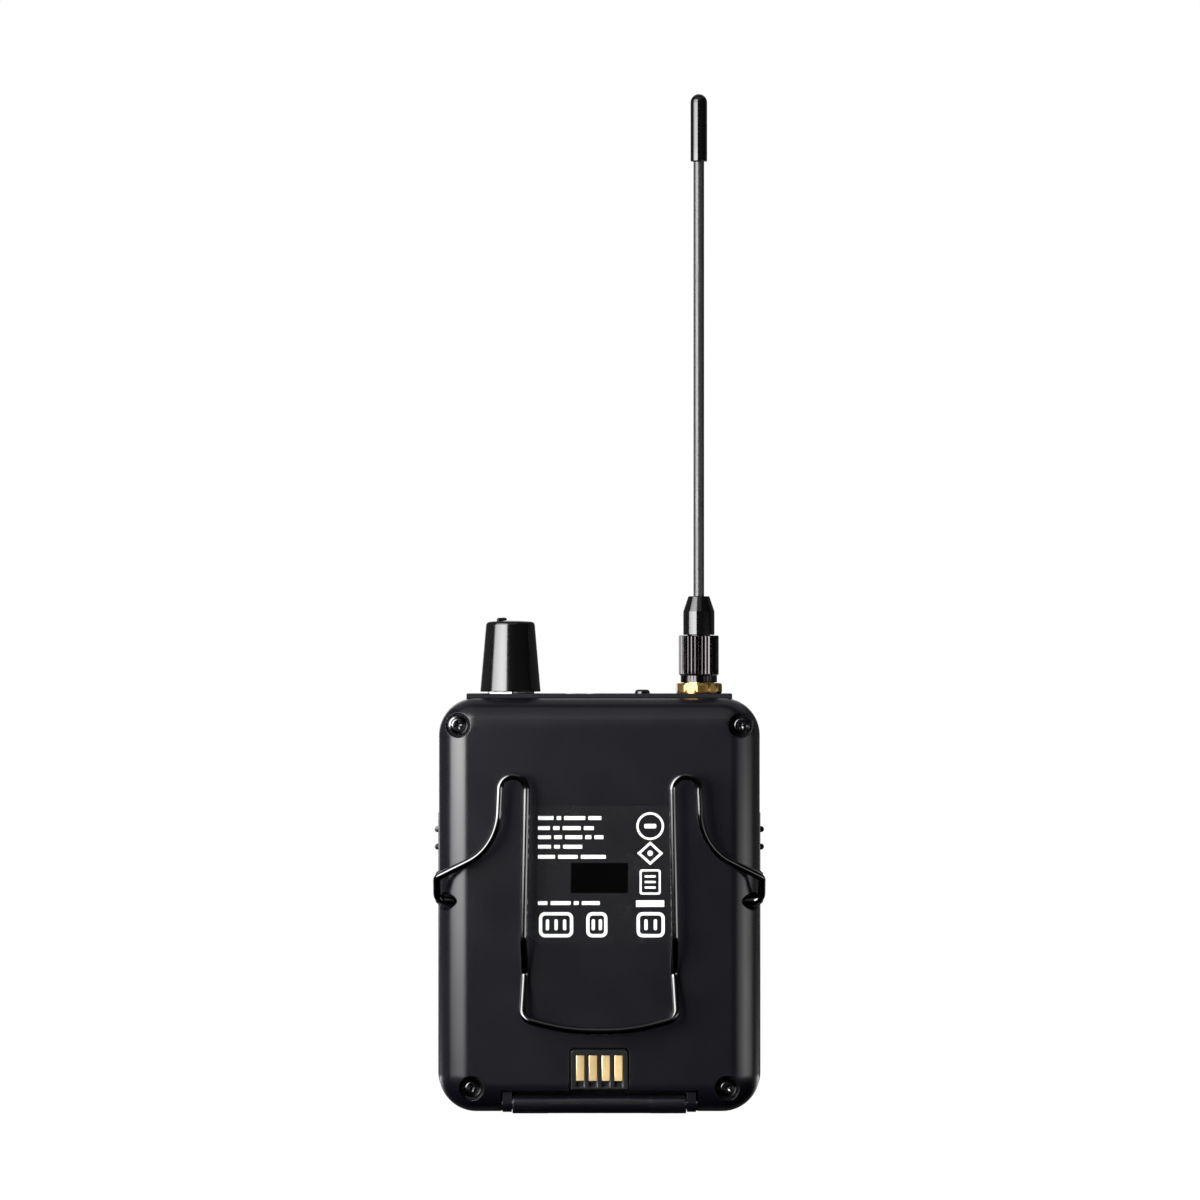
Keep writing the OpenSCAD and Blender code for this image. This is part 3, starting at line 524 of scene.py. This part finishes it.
def hinge_barrel():
    """Fine flats along the hinge barrel, in three lengths, the middle one a little lower."""
    y0, z0 = -8.3, 1.7          # the hinge's axis
    inner, end_bevel, end_scale = 1.6, 0.08, 0.965
    first_flat, flats, flat_turn = 95, 9, 19
    flat_edges = ((1.2, 0.0), (17.0, 0.0), (18.1, 0.07))    # start, end and groove: degrees, depth
    for name, x0, x1, r in (("left", -17.2, -10.2, 1.985), ("middle", -10.1, 10.1, 1.94),
                            ("right", 10.2, 17.2, 1.985)):
        section = []
        for k in range(flats):
            for turn, depth in flat_edges:
                w = radians(first_flat + k * flat_turn + turn)
                section.append((y0 + (r - depth) * cos(w), z0 + (r - depth) * sin(w)))
        section += [(y0 + inner * cos(radians(a)), z0 + inner * sin(radians(a)))
                    for a in range(265, 94, -17)]
        n = len(section)
        verts = [(x, y, z) for x in (x0, x0 + end_bevel, x1 - end_bevel, x1) for y, z in section]
        for k in range(n):
            for i in (0, 3 * n):
                x, y, z = verts[i + k]
                verts[i + k] = (x, y0 + (y - y0) * end_scale, z0 + (z - z0) * end_scale)
        faces = [(i * n + k, i * n + (k + 1) % n, (i + 1) * n + (k + 1) % n, (i + 1) * n + k)
                 for i in range(3) for k in range(n)]
        faces += [tuple(range(n - 1, -1, -1)), tuple(3 * n + k for k in range(n))]
        piece("hinge_barrel_" + name, verts, faces, "battery_door", replaces=False, sharp=14)


# ---------------------------------------------------------------- belt clip

def bend(a, b, c, r, steps):
    """Points of an arc of radius r that rounds the corner at b."""
    u, v = (b - a) / np.linalg.norm(b - a), (c - b) / np.linalg.norm(c - b)
    turn = acos(max(-1.0, min(1.0, float(u @ v))))
    start = b - u * r * tan(turn / 2)
    side = v - u * float(u @ v)
    side /= np.linalg.norm(side)
    return [start + r * (sin(turn * i / steps) * u + (1 - cos(turn * i / steps)) * side)
            for i in range(steps + 1)]


def belt_clip():
    """The clip's wire as one tube: a path with round bends for the left half, and its mirror."""
    lo, hi = mmbox("belt_clip")
    _, y, z = np.array(JOINTS["clip_flex"]["pos_m"]) / MM
    wire, slim = 0.75, 0.70     # radius at the outer bends and elsewhere
    outer_bends = 28.3          # lie further out than this
    bend_steps, longest = 18, 1.2
    side = hi[0] - wire
    out = lo[1] + wire
    nip = mmbox("back_shell")[0][1] - wire - 0.1
    corners = [                 # x, y, z and the bend's radius
        (-26.4, y, z, 0), (-side, y, z, 1.8), (-side, y - 2.8, z + 4.8, 1.4),
        (-20.3, out, z + 10.9, 11), (-19.65, out, z + 25, 2.55), (-14.45, out, z + 25, 2.55),
        (-15.05, out + 0.5, z - 7.6, 3), (-14.8, nip, z - 14, 2.5),
        (-15.35, out + 1.2, z - 23.1, 2.4), (-6.2, out + 0.9, z - 25.5, 40),
        (0, out + 0.9, z - 25.5, 0)]
    points = [np.array(corner[:3], float) for corner in corners]
    bent = [points[0]]
    for i in range(1, len(points) - 1):
        bent += bend(points[i - 1], points[i], points[i + 1], corners[i][3], bend_steps)
    bent.append(points[-1])
    half = [bent[0]]
    for point in bent[1:]:
        start = half[-1]
        gap = np.linalg.norm(point - start)
        if gap < 1e-6:
            continue
        pieces = max(1, int(ceil(gap / longest)))
        half += [start + (point - start) * k / pieces for k in range(1, pieces + 1)]
    path = half + [point * np.array([-1, 1, 1]) for point in half[-2::-1]]
    radii = [wire if abs(point[0]) > outer_bends else slim for point in path]
    verts, faces = sweep(path, radii, 36)
    piece("belt_clip_wire", verts, faces, "belt_clip", sharp=60)


# ---------------------------------------------------------------- knob, antenna and nuts

def knob():
    """The volume knob: a tapered body with a domed top and a pointer ridge on the dome."""
    lo, hi = mmbox("volume_knob")
    x = (lo[0] + hi[0]) / 2
    foot_r, foot, top = (hi[0] - lo[0]) / 2, lo[2], 97.6
    bore_r, bore_top = 3.05, 93.02
    hollow_r, hollow_top = 5.5, foot + 1.6
    outer = soften([(bore_r, hollow_top), (hollow_r, hollow_top), (hollow_r, foot), (foot_r, foot),
                    (4.87, top), (2.6, top + 0.34), (0, top + 0.5)],
                   [0, 0.1, 0.12, 0.18, 0.85, 8.0, 0], 7)
    body = lathe_open(outer + [(0, bore_top), (bore_r, bore_top)], x, 0, 144)
    turn = radians(-128)        # the ridge's direction at rest
    ridge_start, ridge_length, ridge_steps = 1.3, 2.9, 12
    ridge, ridge_r = [], []
    for k in range(ridge_steps + 1):
        t = k / ridge_steps
        d = ridge_start + ridge_length * t
        ridge.append((x + d * cos(turn), d * sin(turn), top + 0.42 - 0.10 * t))
        ridge_r.append(0.46 * sqrt(max(0.02, 1 - (2 * t - 1) ** 6)))
    v, f = merged(body, sweep(ridge, ridge_r, 20, (0, 0, 1)))
    piece("volume_knob_body", v, f, "volume_knob", sharp=50)


def antenna():
    """The coupling nut, boot, whip and end cap, all on the thread's axis."""
    x = JOINTS["coupling_turn"]["pos_m"][0] / MM
    antenna_coupling(x)
    antenna_boot(x)
    whip_r = antenna_whip(x)
    antenna_cap(x, whip_r)


def antenna_coupling(x):
    """The coupling nut: a plain skirt below a fluted grip."""
    lo, hi = mmbox("antenna_nut")
    foot, top, outer = lo[2], hi[2], (hi[0] - lo[0]) / 2
    skirt, knee = 3.68, 86.8    # the skirt's radius, and the height of the grip's foot
    thread, neck, shoulder = 3.25, 2.35, 91.6   # radii inside, and the height between them
    flutes, flute_depth, flute_width = 32, 0.29, 0.38
    flute_foot = knee + 0.05
    ring_gap = 0.7              # between rings of points on the outside

    def fluted(r, z, a):
        if r < outer - 0.3 or z < flute_foot:
            return r
        phase = (a * flutes / (2 * pi)) % 1.0
        groove = max(0.0, 1 - abs(phase - 0.5) / flute_width)
        run_out = min(1.0, max(0.0, (z - flute_foot) / 0.35))
        return r - flute_depth * run_out * groove

    profile = soften([(thread, foot), (skirt, foot), (skirt, knee), (outer, knee + 0.34),
                      (outer, top), (neck, top), (neck, shoulder), (thread, shoulder),
                      (thread, foot)], [0, 0, 0, 0.10, 0.22, 0.1, 0, 0, 0], 4)[:-1]
    dense = []
    for (r0, z0), (r1, z1) in zip(profile, profile[1:] + profile[:1]):
        count = max(1, int(abs(z1 - z0) / ring_gap)) if min(r0, r1) > 3.6 else 1
        dense += [(r0 + (r1 - r0) * k / count, z0 + (z1 - z0) * k / count) for k in range(count)]
    v, f = lathe(dense, x, 0, flutes * 16, fluted)
    piece("antenna_coupling", v, f, "antenna_nut", sharp=28)


def antenna_boot(x):
    """The boot: a flange inside the nut, a neck through it and a tapered body above."""
    lo, hi = mmbox("antenna_boot")
    foot, top = lo[2], hi[2]
    flange, neck, body, rim, whip_seat = 3.1, 2.3, 3.16, 2.13, 1.09     # radii, from the foot up
    flange_top, seat, shoulder = 91.5, 94.95, 99.65
    profile = soften([(0, foot), (flange, foot), (flange, flange_top), (neck, flange_top),
                      (neck, seat), (body, seat), (body, shoulder), (rim, top),
                      (whip_seat, top), (0, top)],
                     [0, 0.1, 0.1, 0, 0, 0.12, 0.25, 0.14, 0, 0], 5)
    v, f = lathe(profile, x, 0, 112)
    piece("antenna_boot_form", v, f, "antenna_boot", sharp=50)


def antenna_whip(x):
    """The whip. Returns its radius."""
    lo, hi = mmbox("antenna_whip")
    r = (hi[0] - lo[0]) / 2
    rings = 60
    side = [(r, lo[2] + (hi[2] - lo[2]) * k / rings) for k in range(rings + 1)]
    v, f = lathe([(0, lo[2])] + side + [(0, hi[2])], x, 0, 64)
    piece("antenna_whip_form", v, f, "antenna_whip", sharp=50)
    return r


def antenna_cap(x, whip_r):
    """The end cap: a blind sleeve with a round tip."""
    lo, hi = mmbox("antenna_cap")
    foot, tip, r = lo[2], hi[2], (hi[0] - lo[0]) / 2
    bore, bore_top = whip_r + 0.03, tip - 1.9
    base = soften([(bore, foot), (r, foot), (r, foot + 3)], [0, 0.55, 0], 8)
    side = [(r, z) for z in np.linspace(foot + 4, tip - r - 0.3, 8)]
    dome = [(r * cos(radians(a)), tip - r + r * sin(radians(a))) for a in range(0, 91, 6)]
    dome[-1] = (0, tip)
    v, f = lathe_open(base + side + dome + [(0, bore_top), (bore, bore_top)], x, 0, 80)
    piece("antenna_cap_form", v, f, "antenna_cap", sharp=50)


def hex_nut(node, across, bore, corner_cut, turn, low_chamfer=True, look=None):
    """A hexagonal nut, `across` its flats, with its corners turned off at the top or both faces."""
    lo, hi = mmbox(node)
    x = (lo[0] + hi[0]) / 2
    flat = across / 2
    count = 240

    def hexagon(r, z, a):
        if r < bore + 0.01:
            return r
        local = degrees(a) - turn - 60.0 * round((degrees(a) - turn) / 60.0)
        limit = min(flat / cos(radians(local)), flat + corner_cut)
        return min(r, limit)

    rim, shoulder, corner = flat - 0.12, flat + 0.02, flat / cos(radians(30)) + 0.02
    shoulder_drop, corner_drop = 0.08, 0.42
    foot, top = lo[2], hi[2]
    profile = [(bore, foot), (rim, foot), (shoulder, foot + shoulder_drop),
               (corner, foot + corner_drop), (corner, top - corner_drop),
               (shoulder, top - shoulder_drop), (rim, top), (bore, top)]
    if not low_chamfer:
        profile[1:4] = [(corner, foot)]
    v, f = lathe(profile, x, 0, count, hexagon)
    piece(node + "_form", v, f, node, sharp=22, look=look)


# ---------------------------------------------------------------- screws

def screws():
    """The four screws that close the case, as one piece."""
    head = mmbox("case_screws")[0][1]
    seat = head + 1.4
    turns = {-1: 15, 1: 40}     # how far the left and right screws are turned, in degrees
    v, f = merged(*(screw(side * x, z, seat, head, turns[side])
                    for x, z in (UPPER_SCREW, LOWER_SCREW) for side in (-1, 1)))
    piece("case_screw_heads", v, f, "case_screws", sharp=40)


def screw(x, z, seat, head, turn):
    """A shank, a washer and a domed head with a cross recess, its axis along Y."""
    count = 96
    arm, root, depth = 0.92, 0.25, 0.75         # half the cross's span and width, and its depth

    def cross_edge(a):
        """How far the recess reaches in direction a."""
        # q is 45 in the middle of an arm and 0 between two arms
        q = abs((degrees(a) - turn) % 90.0 - 45.0)
        off = radians(45.0 - q)
        along = root / max(sin(off), 1e-3) if off > 0 else arm
        between = root * sqrt(2) / max(cos(radians(q)), 0.5)
        return min(arm, max(along, between) if q > 20 else between)

    shank = [(0.7, seat + 8), (1.0, seat + 7.5), (1.0, seat)]
    washer = [(1.9, seat), (1.9, seat - 0.42), (1.86, seat - 0.5), (1.6, seat - 0.56)]
    dome = [(1.02 + 0.5 * cos(radians(a)), head + 0.55 - 0.5 * sin(radians(a)))
            for a in range(0, 91, 10)]
    recess = [(lambda a: cross_edge(a) + 0.04, head + 0.045), (cross_edge, head + 0.09),
              (lambda a: 0.82 * cross_edge(a), head + depth * 0.75),
              (lambda a: 0.35 * cross_edge(a), head + depth)]
    verts, rings = [], []
    for radius, y in shank + washer + dome + recess:
        rings.append(len(verts))
        for k in range(count):
            a = 2 * pi * k / count
            r = radius(a) if callable(radius) else radius
            verts.append((x + r * cos(a), y, z + r * sin(a)))
    faces = []
    for lower, upper in zip(rings, rings[1:]):
        for k in range(count):
            n = (k + 1) % count
            faces.append((lower + k, lower + n, upper + n, upper + k))
    faces.append(tuple(rings[0] + k for k in range(count - 1, -1, -1)))
    faces.append(tuple(rings[-1] + k for k in range(count)))
    return verts, faces


# ---------------------------------------------------------------- print and bands

def label_print():
    """Plain bars and simple shapes where a label carries its print."""
    face = mmbox("rating_label")[0][1]
    y0, y1 = face - 0.015, face + 0.03
    parts = []

    def bar(x0, x1, z0, z1, r=0.14):
        outline = rounded_rect(x0, x1, z0, z1, min(r, (z1 - z0) / 2.01), 3)
        parts.append(plate(outline, y0, y1))

    def shape(x, z, r, sides, squeeze=1.0):
        return [(x + squeeze * r * cos(2 * pi * k / sides), z + r * sin(2 * pi * k / sides))
                for k in range(sides)]

    def ring(outer, inner):
        n = len(outer)
        verts = [(x, y, z) for y in (y0, y1) for loop in (outer, inner) for x, z in loop]
        faces = []
        for k in range(n):
            m = (k + 1) % n
            faces += [(k, m, n + m, n + k), (2 * n + k, 3 * n + k, 3 * n + m, 2 * n + m),
                      (k, 2 * n + k, 2 * n + m, m), (n + k, n + m, 3 * n + m, 3 * n + k)]
        parts.append((verts, faces))

    # Left: rows of bars, each a height and the bars' lengths
    left, bar_half, gap = -12.2, 0.38, 0.6
    rows = ((58.6, (3.1, 0.9, 4.2, 2.6)), (56.6, (2.4, 1.3, 3.6, 2.0)),
            (54.8, (2.6, 1.6, 3.4, 1.2, 1.8)), (52.9, (2.6, 1.2, 3.8)), (50.9, (3.4, 3.9, 5.0)),
            (41.7, (1.9, 4.0, 1.0, 3.6)))
    for z, lengths in rows:
        x = left
        for length in lengths:
            bar(x, x + length, z - bar_half, z + bar_half)
            x += length + gap
    # Right: a ring with a dash, a diamond with a dot, a framed panel of lines and a block
    x, ring_z, diamond_z = 10.1, 57.0, 51.6
    ring(shape(x, ring_z, 2.75, 48), shape(x, ring_z, 2.3, 48))
    bar(x - 1.2, x + 1.2, 56.55, 57.45, 0.3)
    ring(shape(x, diamond_z, 2.35, 4, 1.1), shape(x, diamond_z, 1.7, 4, 1.1))
    parts.append(plate(shape(x, diamond_z, 0.55, 24), y0, y1))
    ring(rounded_rect(x - 2.1, x + 2.1, 43.4, 48.4, 0.5),
         rounded_rect(x - 1.7, x + 1.7, 43.8, 48.0, 0.3))
    for z in (44.8, 45.9, 47.0):
        bar(x - 1.1, x + 1.1, z - 0.22, z + 0.22)
    bar(x - 2.8, x + 2.8, 40.95, 42.25, 0.08)
    # Bottom: three frames with slots in them
    foot, top, frame_width = 34.9, 39.9, 0.65
    for x0, x1, slots in ((-12.0, -5.2, 3), (-2.6, 1.6, 2), (7.4, 13.0, 2)):
        ring(rounded_rect(x0, x1, foot, top, 1.2),
             rounded_rect(x0 + frame_width, x1 - frame_width, foot + frame_width,
                          top - frame_width, 0.6))
        for k in range(slots):
            c = x0 + (x1 - x0) * (k + 1) / (slots + 1)
            bar(c - 0.33, c + 0.33, 36.3, 38.5, 0.3)
    v, f = merged(*parts)
    piece("label_marks", v, f, "rating_label", slot="white_plastic", replaces=False)


def display_marks():
    """Dark bars on the display: a level meter and a battery gauge."""
    face = mmbox("display_module")[1][1]
    y0, y1 = face - 0.02, face + 0.03
    spacing, meter_z = 1.5, 66.6
    meter = [(-10.5 + spacing * k, 0.5, meter_z, meter_z + (1.2 + 0.45 * k)) for k in range(9)]
    gauge = [(7.2 + spacing * k, 0.55, 71.4, 73.4) for k in range(3)]
    v, f = merged(*(plate(rounded_rect(x - half, x + half, z0, z1, 0.1, 2), y0, y1)
                    for x, half, z0, z1 in meter + gauge))
    piece("display_bars", v, f, "display_module", slot="display_glass", replaces=False,
          look="display_ink")


def cell_bands():
    """A pale band round each cell's sleeve, near its top."""
    below_top, height, sunk, lift = 3.0, 9, 0.05, 0.04
    for side in ("left", "right"):
        lo, hi = mmbox("battery_" + side)
        x, y = (lo[0] + hi[0]) / 2, (lo[1] + hi[1]) / 2
        r, top = (hi[0] - lo[0]) / 2, hi[2] - below_top
        foot, inner, outer = top - height, r - sunk, r + lift
        outline = soften([(inner, foot), (outer, foot), (outer, top), (inner, top)],
                         [0, 0.03, 0.03, 0], 3)
        v, f = lathe(outline, x, y, 96)
        piece("cell_band_" + side, v, f, "battery_" + side, replaces=False, look="cell_band")


# ---------------------------------------------------------------- build

belt_clip()
knob()
antenna()
hex_nut("socket_nut", 9.0, 3.16, 0.2, 8.3, look="gold_plate")
hex_nut("pot_nut", 9.2, 3.66, 0.6, 5.0, low_chamfer=False)
screws()
label_print()
display_marks()
cell_bands()
for node, width in (("charge_contacts", 0.12), ("front_shell", 0.12), ("battery_door", 0.15),
                    ("latch_left", 0.15), ("latch_right", 0.15)):
    refined(node, width)
refined("top_panel", 0.22, look="panel_matte")
refined("contact_block", 0.2, reshape=block_inset, look="block_plastic")
# Only the upper screws' mouths are bright: their paler finish paints a highlight on the rim
screw_mouths = [(around(side * x, z), lip, bright) for side in (-1, 1)
                for (x, z), lip, bright in ((UPPER_SCREW, 0.38, True), (LOWER_SCREW, 0.3, False))]
refined("back_shell", 0.12, lips=screw_mouths + [(contact_window_edge, 0.28, False)])
hinge_barrel()


# ---------------------------------------------------------------- studio

WHITE = rgb(1.0)
FLOOR_DROP, FLOOR_RADIUS = 0.045, 0.6           # m; the open door swings below the case
WORLD_DIM = 0.025               # the surround's strength to every ray but the camera's


def stage_object(name, mesh, material):
    """Adds a mesh with its material to the stage."""
    mesh.materials.append(material)
    obj = bpy.data.objects.new(name, mesh)
    scene.collection.objects.link(obj)
    return obj


def pale_floor():
    """A disc that is white to the camera and, to reflections, dim by direction and distance."""
    sides, z = 96, cad_box[0][2] - FLOOR_DROP
    ring = [(FLOOR_RADIUS * cos(2 * pi * k / sides), FLOOR_RADIUS * sin(2 * pi * k / sides), z)
            for k in range(sides)]
    mesh = bpy.data.meshes.new("floor")
    mesh.from_pydata(ring, [], [tuple(range(sides))])
    g = Graph("floor")
    for key, value in (("Base Color", rgb(0.80)), ("Roughness", 0.9), ("Specular IOR Level", 0.0)):
        g.set(g.shader, key, value)
    here = g.add("TexCoord").outputs["Object"]
    away = g.add("VectorMath", operation="LENGTH", i0=here).outputs["Value"]
    white = g.add("Emission", Color=WHITE, Strength=g.ramp(away, 0.05, 0.25, 0.92, 1.1))
    lit = g.add("AddShader", i0=g.shader.outputs[0], i1=white.outputs[0])
    place = g.add("SeparateXYZ", Vector=here)
    # 0 is straight behind the case and 1 straight in front of it, the same on both sides
    turn = g.math("ARCTAN2", g.math("ABSOLUTE", place.outputs["X"]), place.outputs["Y"])
    sector = color_stops(g, g.math("DIVIDE", turn, pi),
                         [(0.0, 0.10), (0.10, 0.10), (0.18, 0.8), (0.27, 0.8), (0.35, 0.12),
                          (0.5, 0.04), (0.66, 0.01), (1.0, 0.01)])
    reach = g.ramp(away, 0.15, 0.40, 0.08, 3.2)
    dim = g.add("Emission", Color=WHITE, Strength=g.math("MULTIPLY", sector, reach))
    camera_ray = g.add("LightPath").outputs["Is Camera Ray"]
    pick = g.add("MixShader", i0=camera_ray, i1=dim.outputs[0], i2=lit.outputs[0])
    g.tree.links.new(pick.outputs[0], g.output.inputs[0])
    stage_object("floor", mesh, g.mat)


def surround():
    """A world that is white to the camera and nearly dark to everything else."""
    world = bpy.data.worlds.new("studio")
    scene.world = world
    world.use_nodes = True
    tree = world.node_tree
    background = tree.nodes["Background"]
    background.inputs["Color"].default_value = WHITE
    light_path = tree.nodes.new("ShaderNodeLightPath")
    strength = tree.nodes.new("ShaderNodeMapRange")
    strength.inputs["To Min"].default_value = WORLD_DIM
    strength.inputs["To Max"].default_value = 1.0
    tree.links.new(light_path.outputs["Is Camera Ray"], strength.inputs["Value"])
    tree.links.new(strength.outputs[0], background.inputs["Strength"])


def card(name, left, right, low, high, distance, radiance, across, upward):
    """An upright glowing card that the camera doesn't see.

    left and right are azimuths in degrees from the camera's side, low, high and distance are in
    metres, and across and upward are the brightness at stops from left to right and low to high.
    """
    a0, a1 = radians(left), radians(right)
    middle = (a0 + a1) / 2
    half = distance * tan((a1 - a0) / 2)
    centre = np.array([sin(middle), -cos(middle)]) * distance
    along = np.array([cos(middle), sin(middle)])
    corners = [(*(centre + along * u * half), z)
               for u, z in ((-1, low), (1, low), (1, high), (-1, high))]
    mesh = bpy.data.meshes.new(name)
    mesh.from_pydata(corners, [], [(0, 1, 2, 3)])
    layer = mesh.uv_layers.new(name="UVMap")
    for k, uv in enumerate(((0, 0), (1, 0), (1, 1), (0, 1))):
        layer.data[k].uv = uv
    g = Graph(name)
    uv = g.add("SeparateXYZ", Vector=g.add("UVMap", uv_map="UVMap").outputs[0])
    glow = g.math("MULTIPLY", color_stops(g, uv.outputs["X"], across),
                  color_stops(g, uv.outputs["Y"], upward))
    emission = g.add("Emission", Color=WHITE, Strength=g.math("MULTIPLY", glow, radiance))
    g.tree.links.new(emission.outputs[0], g.output.inputs[0])
    stage_object(name, mesh, g.mat).visible_camera = False


def area_light(name, offset, width, depth, energy):
    """A soft rectangle of light, aimed at the case from `offset` away, in metres and watts."""
    middle = Vector((0, 0, 0.08))
    light = bpy.data.lights.new(name, "AREA")
    light.shape = "RECTANGLE"
    light.size, light.size_y = width, depth
    light.energy = energy
    obj = bpy.data.objects.new(name, light)
    obj.location = middle + Vector(offset)
    obj.rotation_euler = (middle - obj.location).to_track_quat("-Z", "Y").to_euler()
    obj.visible_camera = False
    scene.collection.objects.link(obj)


def lights():
    """Two bright cards for the highlights in front, three dim ones behind, and two overhead."""
    card("key_left", -75, -16, 0.0, 0.75, 0.62, 20.0,
         [(0.0, 0.5), (0.08, 0.62), (0.62, 1.0), (0.97, 0.95), (1.0, 0.9)],
         [(0.0, 0.0), (0.045, 0.42), (0.10, 0.94), (0.25, 1.0), (0.38, 0.62), (1.0, 0.45)])
    card("card_right", 24, 100, -0.05, 0.16, 0.62, 5.6,
         [(0.0, 0.0), (0.5, 1.0), (0.75, 0.5), (1.0, 0.0)],
         [(0.0, 1.0), (0.33, 0.8), (0.56, 0.08), (0.66, 0.02), (1.0, 0.0)])
    card("card_left_back", -150, -90, -0.05, 0.6, 0.7, 0.16,
         [(0.0, 0.3), (0.4, 0.8), (1.0, 1.0)], [(0.0, 1.0), (1.0, 1.0)])
    card("card_right_back", 100, 150, -0.05, 0.6, 0.7, 0.14,
         [(0.0, 1.0), (0.4, 0.8), (1.0, 0.6)], [(0.0, 1.0), (1.0, 1.0)])
    card("card_back", 158, 208, 0.0, 0.7, 0.8, 2.2,
         [(0.0, 0.0), (0.3, 1.0), (0.7, 1.0), (1.0, 0.5)], [(0.0, 0.6), (0.3, 1.0), (1.0, 0.5)])
    area_light("overhead", (-0.25, -0.6, 1.1), 1.8, 1.2, 3.2)
    area_light("overhead_back", (0.1, 0.6, 0.9), 1.8, 1.0, 1.8)


def camera():
    """A level view straight at the clip side."""
    distance, sensor = 1.6, 36
    plane_y, view_width = -0.0115, 0.23844      # the width of the view at that depth, in metres
    lens = bpy.data.cameras.new("camera")
    lens.sensor_width = sensor
    lens.lens = sensor * (distance + plane_y) / view_width
    lens.clip_start = 0.05
    obj = bpy.data.objects.new("camera", lens)
    obj.location = (0.00013, -distance, 0.10193)
    obj.rotation_euler = (radians(90), 0, 0)
    scene.collection.objects.link(obj)
    scene.camera = obj


pale_floor()
surround()
lights()
camera()
scene.view_settings.view_transform = "Standard"
scene.view_settings.look = "None"
